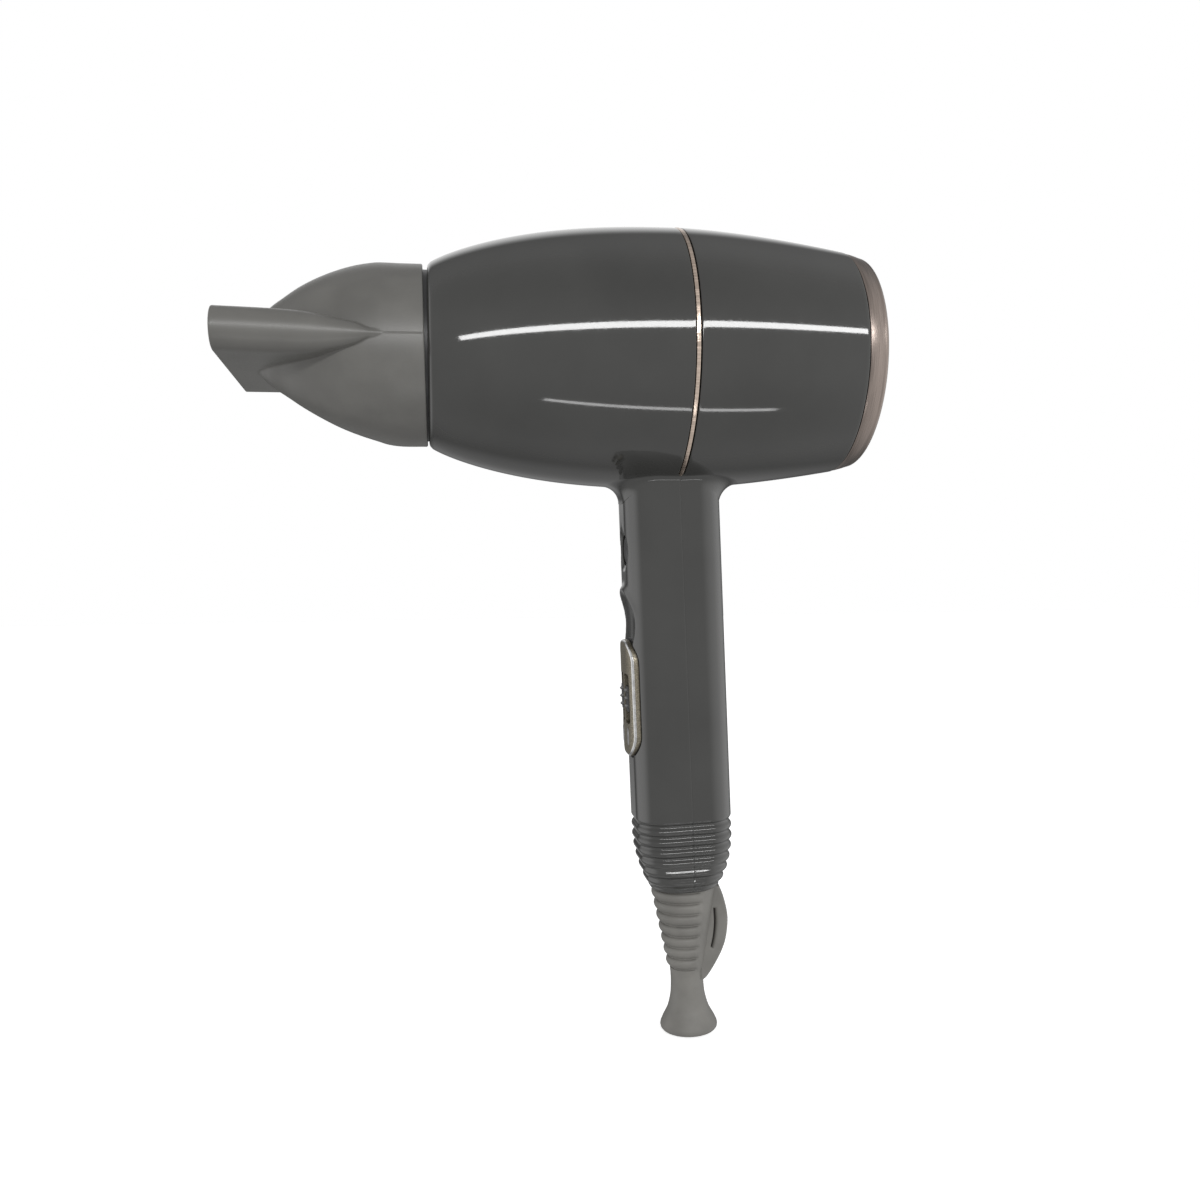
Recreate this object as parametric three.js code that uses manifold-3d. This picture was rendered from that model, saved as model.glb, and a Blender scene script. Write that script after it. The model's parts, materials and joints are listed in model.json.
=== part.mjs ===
// A corded hair dryer with a round barrel, a leaning handle and a turning, pull-off
// concentrator nozzle. Millimetres, +Z up.
//
// The parts are laid out in the barrel's own frame: the barrel axis is X, the nozzle points to -X,
// the air intake to +X, and the handle hangs towards -Z. X is 0 at the trim ring between the two
// casings. The group that is exported is then shifted so that the part's origin is the centre of
// the flat disc in the middle of the rear grille.
import * as THREE from "three";
import { mergeVertices } from "three/addons/utils/BufferGeometryUtils.js";
import Module from "manifold-3d";

const wasm = await Module();
wasm.setup();

// ---------------------------------------------------------------- driving dimensions
const GAP = 0.3; // clearance between pieces that touch
const WALL = 2.4; // casing wall

const RING_R = 47.0; // barrel radius at the trim ring, its widest place
const RING_HALF = 0.75; // half the width of the trim ring
const FRONT_X = -88.7; // front edge of the barrel
const FRONT_R = 32.0;
const REAR_X = 61.6; // rear edge of the rear casing
const REAR_R = 40.5;
const ORIGIN_X = 69.0; // rear face of the grille's hub, the part's origin

const HANDLE_LEAN = THREE.MathUtils.degToRad(1.94); // the handle's foot leans to the rear
const HANDLE_TOP_X = -2.85; // where the handle's axis crosses the barrel's height
const HANDLE_HALF = 17.9; // half the handle's width along the barrel
const SEAM_OFFSET = 1.2; // the handle's two halves meet this far behind its axis
const SIDE_HALF = 16.0; // half the handle's depth across the barrel
const TAPER_TOP = -176; // the handle narrows from here to its foot
const FOOT_TAPER = 4.8; // how much of half its width it loses there
const CORNER_R = 11.5; // corner radius of the handle's section
const NECK_Z = -52; // the handle flares into the barrel from here
const FLARE_TOP = -44; // up to here
const HANDLE_FOOT = -195.8; // lower end of the casing, along the handle
const RIB_TOP = -170.4; // first of the grip ribs
const RIB_PITCH = 3.95;
const RIB_COUNT = 6;
const GUARD_SEAT = -190; // the cord guard's flange rests on this step inside the handle's foot
const GUARD_NECK_R = 9.5;

const NOZZLE_BACK = -89.95; // middle of the nozzle's rear edge
const NOZZLE_SLANT = 0.75; // that edge is this much further forward at the top than in the middle
const NOZZLE_R = 32.0;
const NOZZLE_TURN = -3.5; // degrees that the nozzle is turned at rest
const MOUTH_X = -157.5; // the nozzle's mouth
const NOZZLE_WALL = 1.8;
const COLLAR_R = 30.1; // the collar that plugs into the barrel
const COLLAR_BORE = 27.8;

const PLATE_Z = -124; // centre of the switch plate along the handle
const PLATE_HALF_WIDTH = 10.7;
const PLATE_HALF_HEIGHT = 21.5;
const PLATE_CORNER = 8.5;
const PLATE_PROUD = 1.6; // how far it stands off the handle
const PLATE_FACE = -HANDLE_HALF - PLATE_PROUD;
const PLATE_BACK = -14.8;
const SLIDER_Y = 4.5; // each slider's distance from the middle of the plate
const CREST_Z = -86.5; // the raised lip above the thumb's hollow
const CREST_R = 6;
const CREST_PROUD = 1.4;
const BUTTON_Z = -69.4; // the cool-shot button
const BUTTON_R = 5.2;

const ROUND = 36; // sides of the large round parts
const SMALL_ROUND = 20;

// ---------------------------------------------------------------- materials
const finish = (color, roughness, metalness = 0) =>
  new THREE.MeshStandardMaterial({ color, roughness, metalness });
const MATERIALS = {
  gloss: finish(0x2b2b2a, 0.12),
  satin: finish(0x4c4b47, 0.5),
  dark: finish(0x1b1b1c, 0.5),
  rose: finish(0xb89c86, 0.25, 1),
  bronze: finish(0x8a7a6e, 0.4, 1),
  plate: finish(0x8b8372, 0.4, 1),
  rubber: finish(0x565550, 0.7),
  mica: finish(0xb9a37c, 0.6),
  wire: finish(0x8d8f94, 0.35, 1),
  steel: finish(0xa9abae, 0.3, 1),
  brass: finish(0xb8923f, 0.3, 1),
  ferrite: finish(0x2e2f33, 0.7),
  board: finish(0x2f6b3c, 0.5),
  blue: finish(0x24448f, 0.5),
};

// ---------------------------------------------------------------- solids
// A three.js geometry as a manifold-3d solid.
function solid(geometry) {
  geometry.deleteAttribute("normal");
  geometry.deleteAttribute("uv");
  const merged = mergeVertices(geometry, 1e-4);
  const corners = merged.index.array;
  const kept = [];
  for (let i = 0; i < corners.length; i += 3) {
    const [a, b, c] = [corners[i], corners[i + 1], corners[i + 2]];
    if (a !== b && b !== c && a !== c) kept.push(a, b, c);
  }
  const vertProperties = merged.attributes.position.array;
  const triVerts = new Uint32Array(kept);
  return new wasm.Manifold(new wasm.Mesh({ numProp: 3, vertProperties, triVerts }));
}

// A manifold-3d solid as a three.js geometry.
function geometryOf(shape) {
  const mesh = shape.getMesh();
  return new THREE.BufferGeometry()
    .setAttribute("position", new THREE.BufferAttribute(mesh.vertProperties, 3))
    .setIndex(new THREE.BufferAttribute(mesh.triVerts, 1));
}

// Turns a closed outline of [x, radius] points about the X axis.
function turned(outline, sides = ROUND) {
  const points = outline.map(([x, r]) => new THREE.Vector2(r, x));
  if (THREE.ShapeUtils.isClockWise(points)) points.reverse();
  const closed = [...points, points[0].clone()];
  return solid(new THREE.LatheGeometry(closed, sides).rotateZ(-Math.PI / 2));
}

const rod = (x0, x1, r, sides = SMALL_ROUND) => turned([[x0, 0], [x1, 0], [x1, r], [x0, r]], sides);
const tube = (x0, x1, inner, outer, sides = SMALL_ROUND) =>
  turned([[x0, inner], [x1, inner], [x1, outer], [x0, outer]], sides);

const uprightRod = (z0, z1, r, sides = SMALL_ROUND) => rod(z0, z1, r, sides).rotate([0, -90, 0]);

function box(x0, x1, y0, y1, z0, z1) {
  const shape = new THREE.BoxGeometry(x1 - x0, y1 - y0, z1 - z0);
  return solid(shape.translate((x0 + x1) / 2, (y0 + y1) / 2, (z0 + z1) / 2));
}

// A closed skin through rings of points that all have the same number of points.
function loft(rings) {
  const count = rings[0].length;
  const positions = rings.flat().flatMap((p) => [p.x, p.y, p.z]);
  const index = [];
  for (let k = 0; k + 1 < rings.length; k += 1) {
    for (let i = 0; i < count; i += 1) {
      const j = (i + 1) % count;
      const [a, b] = [k * count + i, k * count + j];
      index.push(a, b, b + count, a, b + count, a + count);
    }
  }
  for (let i = 1; i + 1 < count; i += 1) {
    const last = (rings.length - 1) * count;
    index.push(0, i + 1, i, last, last + i, last + i + 1);
  }
  const geometry = new THREE.BufferGeometry()
    .setAttribute("position", new THREE.Float32BufferAttribute(positions, 3))
    .setIndex(index);
  const made = solid(geometry);
  return made.volume() > 0 ? made : loft([...rings].reverse());
}

// A rounded rectangle as a three.js shape.
function roundedShape(halfWidth, halfHeight, corner) {
  const [w, h, r] = [halfWidth, halfHeight, corner];
  const shape = new THREE.Shape().moveTo(w, -h + r).lineTo(w, h - r);
  shape.absarc(w - r, h - r, r, 0, Math.PI / 2).lineTo(-w + r, h);
  shape.absarc(-w + r, h - r, r, Math.PI / 2, Math.PI).lineTo(-w, -h + r);
  shape.absarc(-w + r, -h + r, r, Math.PI, 1.5 * Math.PI).lineTo(w - r, -h);
  return shape.absarc(w - r, -h + r, r, 1.5 * Math.PI, 2 * Math.PI);
}

// A section of the handle or nozzle: the same count of points whatever its sizes.
function roundedSection(halfX, halfY, corner, steps, place) {
  const points = [];
  const r = Math.min(corner, halfX, halfY);
  for (const [sx, sy, start] of [[1, 1, 0], [-1, 1, 0.5], [-1, -1, 1], [1, -1, 1.5]]) {
    for (let i = 0; i <= steps; i += 1) {
      const angle = Math.PI * (start + i / steps / 2);
      const x = sx * (halfX - r) + r * Math.cos(angle);
      const y = sy * (halfY - r) + r * Math.sin(angle);
      points.push(place(x, y));
    }
  }
  return points;
}

// An outline in the handle's front view, driven through the handle's wall from x0 to x1.
function throughFront(shape, x0, x1, y, z) {
  const options = { depth: x1 - x0, bevelEnabled: false, curveSegments: 6 };
  const made = new THREE.ExtrudeGeometry(shape, options);
  made.rotateX(Math.PI / 2).rotateZ(Math.PI / 2); // drawn in the Y-Z plane, extruded along X
  return solid(made.translate(x0, y, z));
}

// A round wire along a curve.
function wireAlong(points, radius, steps, sides = 6) {
  const curve = new THREE.CatmullRomCurve3(points.map((p) => new THREE.Vector3(...p)));
  const section = new THREE.Shape();
  for (let i = 0; i < sides; i += 1) {
    const angle = (2 * Math.PI * i) / sides;
    const corner = [radius * Math.cos(angle), radius * Math.sin(angle)];
    if (i === 0) section.moveTo(...corner);
    else section.lineTo(...corner);
  }
  const made = new THREE.ExtrudeGeometry(section, { steps, extrudePath: curve });
  return solid(made);
}

function helix(x0, x1, radius, turns, stepsPerTurn, phase = 0) {
  const points = [];
  for (let i = 0; i <= turns * stepsPerTurn; i += 1) {
    const angle = phase + (2 * Math.PI * i) / stepsPerTurn;
    const x = x0 + ((x1 - x0) * i) / (turns * stepsPerTurn);
    points.push([x, radius * Math.cos(angle), radius * Math.sin(angle)]);
  }
  return points;
}

const union = (pieces) => pieces.reduce((whole, piece) => whole.add(piece));
const around = (count, make) =>
  Array.from({ length: count }, (_, i) => make((360 * i) / count));

// ---------------------------------------------------------------- the scene graph
const part = new THREE.Group();
const barrel = new THREE.Group();
barrel.position.x = -ORIGIN_X;
part.add(barrel);
const handle = new THREE.Group();
handle.position.x = HANDLE_TOP_X;
handle.rotation.y = -HANDLE_LEAN;
barrel.add(handle);

const handleMatrix = new THREE.Matrix4()
  .makeTranslation(HANDLE_TOP_X, 0, 0)
  .multiply(new THREE.Matrix4().makeRotationY(-HANDLE_LEAN));
const inBarrel = (shape) => shape.transform(handleMatrix.toArray());

function add(group, name, shape, material) {
  const mesh = new THREE.Mesh(geometryOf(shape), MATERIALS[material]);
  mesh.name = name;
  group.add(mesh);
  return mesh;
}

// ---------------------------------------------------------------- casings
// The barrel swells quickly from its outlet, is widest at the trim ring and narrows gently behind.
function barrelRadius(x) {
  if (x > 0) return RING_R - (RING_R - REAR_R) * (x / REAR_X) ** 1.6;
  const share = 1 - x / FRONT_X;
  return FRONT_R + (RING_R - FRONT_R) * (1 - (1 - share) ** 2.4) ** 0.83;
}

const FRONT_STATIONS = [1, 0.985, 0.94, 0.87, 0.77, 0.63, 0.46, 0.26, 0];
const REAR_STATIONS = [0.25, 0.5, 0.75, 1];
const SOCKET_END = -69; // inner end of the straight socket that takes the nozzle's collar

function barrelOutside() {
  const skin = FRONT_STATIONS.map((t) => t * FRONT_X)
    .concat(REAR_STATIONS.map((t) => t * REAR_X))
    .map((x) => [x, barrelRadius(x)]);
  return turned([[FRONT_X, 0], ...skin, [REAR_X, 0]]);
}

function barrelInside() {
  const inner = [0.72, 0.6, 0.35, 0].map((t) => t * FRONT_X)
    .concat([0.4, 0.75, 1.02].map((t) => t * REAR_X))
    .map((x) => [x, barrelRadius(x) - WALL]);
  const socket = COLLAR_R + GAP;
  const mouth = [[FRONT_X - 1, 0], [FRONT_X - 1, socket], [SOCKET_END, socket]];
  return turned([...mouth, ...inner, [REAR_X * 1.02, 0]]);
}

// Half the handle's width, along the barrel, at a height on its axis.
function handleHalfWidth(z) {
  if (z > NECK_Z) return HANDLE_HALF + 0.11 * (Math.min(z, FLARE_TOP) - NECK_Z) ** 2;
  if (z > TAPER_TOP) return HANDLE_HALF;
  const down = (TAPER_TOP - z) / (TAPER_TOP - HANDLE_FOOT);
  return HANDLE_HALF - FOOT_TAPER * down ** 1.7;
}

const handleRing = (z, inset) => {
  const halfX = handleHalfWidth(z) - inset;
  const halfY = Math.min(SIDE_HALF, handleHalfWidth(z) - 0.3) - inset;
  const place = (x, y) => new THREE.Vector3(x, y, z);
  return roundedSection(halfX, halfY, CORNER_R - inset * 0.7, 3, place);
};

function handleOutside() {
  const rings = [-30, FLARE_TOP, -47, NECK_Z, RIB_TOP].map((z) => handleRing(z, 0));
  for (let i = 0; i < RIB_COUNT; i += 1) {
    const top = RIB_TOP - i * RIB_PITCH;
    rings.push(handleRing(top - 0.35 * RIB_PITCH, 0.7), handleRing(top - RIB_PITCH, 0));
  }
  rings.push(handleRing(HANDLE_FOOT, 0.4));
  const crest = rod(-7, 7, CREST_R, 24).rotate([0, 0, 90]);
  const crestX = CREST_R - HANDLE_HALF - CREST_PROUD;
  return loft(rings).add(crest.translate([crestX, 0, CREST_Z]));
}

function handleInside() {
  const levels = [NECK_Z, TAPER_TOP, -183, GUARD_SEAT];
  const cavity = loft([handleRing(NECK_Z, WALL).map((p) => p.clone().setZ(-30))]
    .concat(levels.map((z) => handleRing(z, WALL))));
  const foot = uprightRod(HANDLE_FOOT - 1, GUARD_SEAT + 1, GUARD_NECK_R + GAP);
  return cavity.add(foot);
}

// Everything in front of (side -1) or behind (side 1) the surface where the two casings meet.
const NECK_STEP = -44.3; // just below the ends of the trim ring
function beside(side) {
  const seam = (z) => HANDLE_TOP_X + SEAM_OFFSET - z * Math.tan(HANDLE_LEAN) + (side * GAP) / 2;
  const ring = side * (RING_HALF + GAP);
  const far = side * 200;
  const upper = [[far, 90], [ring, 90], [ring, NECK_STEP]];
  const lower = [[seam(NECK_STEP), NECK_STEP], [seam(-260), -260], [far, -260]];
  const shape = new THREE.Shape([...upper, ...lower].map(([x, z]) => new THREE.Vector2(x, z)));
  const made = new THREE.ExtrudeGeometry(shape, { depth: 200, bevelEnabled: false });
  return solid(made.rotateX(Math.PI / 2).translate(0, 100, 0));
}

const buttonHole = () =>
  inBarrel(rod(-22, -12, BUTTON_R + GAP, 24).translate([0, 0, BUTTON_Z]));
const plateHole = () => {
  const [w, h, r] = [PLATE_HALF_WIDTH, PLATE_HALF_HEIGHT, PLATE_CORNER].map((v) => v + GAP);
  return inBarrel(throughFront(roundedShape(w, h, r), -26, -12, 0, PLATE_Z));
};
// The thumb's hollow between the crest and the switch plate.
const HOLLOW_Z = -97.5;
const HOLLOW_R = 26;
const HOLLOW_DEPTH = 1.2;
const thumbHollow = () => {
  const hollow = rod(-8, 8, HOLLOW_R, 40).rotate([0, 0, 90]);
  return inBarrel(hollow.translate([HOLLOW_DEPTH - HANDLE_HALF - HOLLOW_R, 0, HOLLOW_Z]));
};

// The cord clamp lies on two posts of the rear casing, just above the cord guard.
const CLAMP = { z: -174, y: 8.2, half: 11.5, screw: 1.1 };
const atClamp = (make) =>
  union([-CLAMP.y, CLAMP.y].map((y) => inBarrel(make().translate([0, y, CLAMP.z]))));
const clampPosts = () => atClamp(() => rod(GAP, HANDLE_HALF - 3, 2.8, 12));
const clampPostBores = () => atClamp(() => rod(-1, 8, CLAMP.screw + GAP, 12));

// Screw posts: a clearance post behind, with its mouth in the rear casing's back, and a blind
// post in front that the thread bites into.
const HANDLE_SCREW_Z = [-57, -159];
const POST_R = 4.2;
const POST_BORE = 1.6;
const SCREW_HEAD_X = 12; // the seat of the screw's head
const atScrews = (make) => union(HANDLE_SCREW_Z.map((z) => inBarrel(make().translate([0, 0, z]))));
const frontPosts = () => atScrews(() => rod(-17.2, SEAM_OFFSET - 0.3, POST_R));
const frontPostBores = () => atScrews(() => rod(-12, SEAM_OFFSET + 1, POST_BORE, 12));
const rearPosts = () => atScrews(() => rod(SEAM_OFFSET + 0.3, HANDLE_HALF - 0.8, POST_R));
const rearPostBores = () => atScrews(() =>
  rod(-2, SCREW_HEAD_X + 1, POST_BORE, 12).add(rod(SCREW_HEAD_X, 30, 3.1, 16)));

const casing = barrelOutside()
  .add(inBarrel(handleOutside()))
  .subtract(barrelInside())
  .subtract(inBarrel(handleInside()));
const frontOpenings = union([buttonHole(), plateHole(), thumbHollow(), frontPostBores()]);
const frontCasing = casing.intersect(beside(-1)).add(frontPosts()).subtract(frontOpenings);
add(barrel, "front_casing", frontCasing, "gloss");
const rearCasing = casing.intersect(beside(1)).add(rearPosts()).add(clampPosts());
add(barrel, "rear_casing", rearCasing.subtract(rearPostBores()).subtract(clampPostBores()), "gloss");

const neck = box(-20, 20, -SIDE_HALF - GAP, SIDE_HALF + GAP, -60, -30);
const trimRing = tube(-RING_HALF, RING_HALF, RING_R - 3, RING_R + 0.1, ROUND);
add(barrel, "trim_ring", trimRing.subtract(neck), "rose");

// ---------------------------------------------------------------- nozzle
// A dome whose middle rises a little towards its tip, as [x, radius, rise].
const DOME = [
  [-98, 32, 0], [-107, 31.1, 0.9], [-113.5, 29.5, 1.4], [-120, 27.25, 1.75], [-126.5, 24.3, 2.1],
  [-132.5, 21, 2.3], [-138, 17.3, 2.3], [-143.5, 13.3, 2.1], [-147.5, 8.5, 1.6], [-149.5, 0, 1.2],
];
// The flat slot that grows out of the dome towards the mouth, as [x, half width, half height, rise].
const SLOT = [
  [-104, 31, 0.4, 0.1], [-108.5, 32, 1.9, 0.1], [-112, 32.8, 3.7, 0.1], [-120, 34.3, 5.4, 0.1],
  [-127, 35.5, 6.8, 0.1], [-135, 36.5, 7.3, 0.2], [MOUTH_X, 38, 7.3, 0.5],
];
const SEAT_STEP = -103.9; // the collar's front edge rests against this step

// The nozzle's outside, or the room inside it when a wall's thickness is left out all round.
function nozzleBody(inset) {
  const circle = (x, r, rise, slant = 0) => Array.from({ length: ROUND }, (_, i) => {
    const angle = (2 * Math.PI * i) / ROUND;
    const [across, up] = [Math.cos(angle), Math.sin(angle)];
    return new THREE.Vector3(x - slant * up, r * across, rise + r * up);
  });
  const back = inset ? circle(SEAT_STEP - 1, NOZZLE_R - inset, 0)
    : circle(NOZZLE_BACK, NOZZLE_R, 0, NOZZLE_SLANT);
  const stations = DOME.filter(([x]) => !inset || x < SEAT_STEP - 1);
  const dome = stations.map(([x, r, rise]) => circle(x + inset, Math.max(r - inset, 0), rise));
  const slot = SLOT.filter(([, , halfHeight]) => !inset || halfHeight > 2 * inset);
  const duct = loft(slot.map(([x, halfWidth, halfHeight, rise], i) => {
    const beyond = inset && i === slot.length - 1 ? -1 : 0;
    const place = (y, z) => new THREE.Vector3(x + beyond, y, z + rise);
    return roundedSection(halfWidth - inset, halfHeight - inset, halfHeight - inset, 3, place);
  }));
  return loft([back, ...dome]).add(duct);
}

const collarRoom = rod(SEAT_STEP, NOZZLE_BACK + 1, COLLAR_R + GAP, ROUND);
const nozzle = nozzleBody(0).subtract(nozzleBody(NOZZLE_WALL)).subtract(collarRoom);
add(barrel, "nozzle_shell", nozzle.rotate([NOZZLE_TURN, 0, 0]), "satin");

const COLLAR_END = -77; // how far the collar reaches into the barrel
const collar = tube(SEAT_STEP + GAP, COLLAR_END, COLLAR_BORE, COLLAR_R, ROUND);
add(barrel, "nozzle_collar", collar, "dark");

// ---------------------------------------------------------------- outlet and heater
function ringsAndSpokes(x0, x1, radii, width, spokes, reach) {
  const rings = radii.map((r, i) => tube(x0, x1, r - width, r, i ? 16 : 30));
  const bars = around(spokes, (angle) =>
    box(x0 + 0.2, x1 - 0.2, -width / 2, width / 2, 0.5, reach).rotate([angle, 0, 0]));
  return union([...rings, ...bars]);
}

const OUTLET_X = COLLAR_END + 0.5;
const outletHub = rod(OUTLET_X, OUTLET_X + 3, 5, 12);
const outletRings = ringsAndSpokes(OUTLET_X, OUTLET_X + 3, [30.1, 18], 1.6, 6, 29);
add(barrel, "outlet_grille", outletRings.add(outletHub), "dark");

// The heater: a sleeve that sits in the socket behind the grille, two halved boards and two coils.
const HEATER = { x0: OUTLET_X + 3.3, x1: -22, half: 20 };
const sleeve = tube(HEATER.x0, HEATER.x1, COLLAR_R - 0.9, COLLAR_R, 30);
add(barrel, "heater_sleeve", sleeve, "mica");

const HEATER_MID = (HEATER.x0 + HEATER.x1) / 2;
const boardSlot = (x0, x1) => box(x0, x1, -0.8, 0.8, -0.8, 0.8);
const uprightBoard = box(HEATER.x0, HEATER.x1, -0.5, 0.5, -HEATER.half, HEATER.half);
const uprightSlot = boardSlot(HEATER.x0 - 1, HEATER_MID + 0.2);
add(barrel, "heater_board_upright", uprightBoard.subtract(uprightSlot), "mica");
const levelBoard = box(HEATER.x0, HEATER.x1, -HEATER.half, HEATER.half, -0.5, 0.5);
const levelSlot = boardSlot(HEATER_MID - 0.2, HEATER.x1 + 1);
add(barrel, "heater_board_level", levelBoard.subtract(levelSlot), "mica");

const COIL = { radius: HEATER.half + 2.8, wire: 1.1, turns: 3, steps: 10 };
["low", "high"].forEach((level, i) => {
  const path = helix(HEATER.x0 + 4, HEATER.x1 - 6, COIL.radius, COIL.turns, COIL.steps, i * Math.PI);
  const coil = wireAlong(path, COIL.wire, COIL.turns * COIL.steps, 5);
  add(barrel, `heater_coil_${level}`, coil, "wire");
});
add(barrel, "thermostat", box(-46, -34, 4, 14, 0.8, 6), "steel");
add(barrel, "thermal_fuse", rod(-46, -34, 1.8, 12).translate([0, -8, -2.6]), "brass");

// ---------------------------------------------------------------- motor and fan
const MOTOR = { x0: -14, x1: 14, r: 18.4, wall: 1.2 };
const DUCT_R = 40.4;
const HOLDER_R = MOTOR.r + GAP;

const holder = tube(-9, 10, HOLDER_R, HOLDER_R + 2, 24);
const ductWall = tube(-9, 36, DUCT_R - 1.6, DUCT_R, ROUND);
const vanes = around(5, (angle) =>
  box(-7, 8, -0.9, 0.9, HOLDER_R + 1, DUCT_R - 1).rotate([angle + 18, 0, 0]));
add(barrel, "fan_duct", union([holder, ductWall, ...vanes]), "dark");

const BEARING = { inner: 1.8, outer: 4, length: 4 };
const bearingSeat = BEARING.outer + GAP;
const canInner = MOTOR.r - MOTOR.wall;
add(barrel, "motor_can", turned([
  [MOTOR.x0, bearingSeat], [MOTOR.x0, MOTOR.r], [MOTOR.x1 - 3, MOTOR.r],
  [MOTOR.x1 - 3, canInner], [MOTOR.x0 + 2, canInner], [MOTOR.x0 + 2, bearingSeat],
], 24), "steel");
const endCap = tube(MOTOR.x1 - 2.7, MOTOR.x1, bearingSeat, MOTOR.r - 0.2, 24);
add(barrel, "motor_end_cap", endCap, "dark");
for (const [end, x] of [["front", MOTOR.x0 - 1], ["rear", MOTOR.x1 - 3]]) {
  const bearing = tube(x, x + BEARING.length, BEARING.inner, BEARING.outer, 12);
  add(barrel, `motor_bearing_${end}`, bearing, "brass");
}
for (const [side, turn] of [["upper", 0], ["lower", 180]]) {
  const wedge = box(-20, 20, -14, 14, 2, 30).rotate([turn, 0, 0]);
  const magnet = tube(MOTOR.x0 + 2, MOTOR.x1 - 6, 12.4, canInner - GAP, 24);
  add(barrel, `motor_magnet_${side}`, magnet.intersect(wedge), "ferrite");
}
const armatureSlots = around(5, (angle) => box(-9, 8, -1.2, 1.2, 6, 14).rotate([angle, 0, 0]));
const armature = tube(-8, 5, BEARING.inner, 11.8, 30).subtract(union(armatureSlots));
add(barrel, "motor_armature", armature, "ferrite");
add(barrel, "motor_commutator", tube(5.6, 10.4, BEARING.inner, 4.2, 12), "brass");
for (const [side, sign] of [["left", -1], ["right", 1]]) {
  const [y0, y1] = sign < 0 ? [-11, -4.6] : [4.6, 11];
  add(barrel, `motor_brush_${side}`, box(6.4, 9.6, y0, y1, -1.6, 1.6), "ferrite");
}
add(barrel, "motor_shaft", rod(-17, 29, 1.5, 16), "steel");

const FAN = { x0: 17, x1: 30, hub: 12.5, tip: 37.6, blades: 9, pitch: 38 };
const fanHub = turned([
  [FAN.x0, BEARING.inner], [FAN.x0, FAN.hub], [FAN.x1 - 3, FAN.hub],
  [FAN.x1, FAN.hub - 3], [FAN.x1, BEARING.inner],
], 27);
const fanBlades = around(FAN.blades, (angle) =>
  box(-7, 7, -0.8, 0.8, FAN.hub - 2, FAN.tip)
    .rotate([0, 0, FAN.pitch])
    .translate([(FAN.x0 + FAN.x1) / 2, 0, 0])
    .rotate([angle, 0, 0]));
add(barrel, "fan_impeller", union([fanHub, ...fanBlades]), "dark");

// ---------------------------------------------------------------- rear cover
const COVER = { x0: 61.9, x1: 69.5, r0: 40.2, r1: 38.1, bore: 33.4 };
const SPIGOT = { x0: 55, inner: 35.8, outer: 37.4 };
add(barrel, "rear_bezel", turned([
  [SPIGOT.x0, SPIGOT.inner], [SPIGOT.x0, SPIGOT.outer], [COVER.x0, SPIGOT.outer], [COVER.x0, COVER.r0],
  [COVER.x1 - 1.6, COVER.r1 + 0.6], [COVER.x1 - 0.4, COVER.r1 - 0.6], [COVER.x1, COVER.r1 - 2],
  [COVER.x1, COVER.bore], [63.4, COVER.bore], [63.4, SPIGOT.inner],
]), "bronze");

const GRILLE_X = 64.2;
const grilleHub = rod(GRILLE_X, ORIGIN_X, 9, 24);
const grille = ringsAndSpokes(GRILLE_X, ORIGIN_X - 1, [33.1, 25, 17], 1.7, 6, 32.5);
add(barrel, "rear_grille", grille.add(grilleHub), "dark");

const FILTER_HOLE = { radius: 4.1, pitch: 11.6, reach: 30 };
function filterHoles() {
  const holes = [];
  for (let row = -3; row <= 3; row += 1) {
    for (let column = -3; column <= 3; column += 1) {
      const y = (column + (row % 2) / 2) * FILTER_HOLE.pitch;
      const z = row * FILTER_HOLE.pitch * Math.sin(Math.PI / 3);
      const hole = () => rod(58, 63, FILTER_HOLE.radius, 6).translate([0, y, z]);
      if (Math.hypot(y, z) < FILTER_HOLE.reach) holes.push(hole());
    }
  }
  return union(holes);
}
const filterDisc = rod(60.4, 61.6, SPIGOT.inner - GAP, 32);
add(barrel, "intake_filter", filterDisc.subtract(filterHoles()), "steel");

// ---------------------------------------------------------------- controls in the handle
const plateCurve = loft([-95, -155].map((z) => handleRing(z, -PLATE_PROUD)));
const plateOutline = roundedShape(PLATE_HALF_WIDTH, PLATE_HALF_HEIGHT, PLATE_CORNER);
const plateBlank = throughFront(plateOutline, -26, PLATE_BACK, 0, PLATE_Z);
const WINDOW = { halfWidth: 3.2, halfHeight: 9 };
const windows = union([-1, 1].map((side) => box(
  -26, -10, side * SLIDER_Y - WINDOW.halfWidth, side * SLIDER_Y + WINDOW.halfWidth,
  PLATE_Z - WINDOW.halfHeight, PLATE_Z + WINDOW.halfHeight)));
add(handle, "switch_plate", plateBlank.intersect(plateCurve).subtract(windows), "plate");

for (const [name, side] of [["speed", -1], ["heat", 1]]) {
  const y = side * SLIDER_Y;
  const half = 4.6;
  const ridge = (z) => box(PLATE_FACE - 0.6, PLATE_FACE + 1, y - 2.8, y + 2.8, z - 0.5, z + 0.5);
  const ridges = [-2.9, 0, 2.9].map(ridge);
  const cap = box(PLATE_FACE + 0.2, -13, y - 2.8, y + 2.8, -half, half);
  const skirt = box(-14.4, -13, y - 4.2, y + 4.2, -13.6, 13.6);
  const knob = add(handle, `${name}_slider`, union([cap, skirt, ...ridges]), "dark");
  knob.position.z = PLATE_Z;
  const body = add(handle, `${name}_switch`, box(-12.6, -5, y - 3.9, y + 3.9, -12, 12), "dark");
  body.position.z = PLATE_Z;
}

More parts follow.
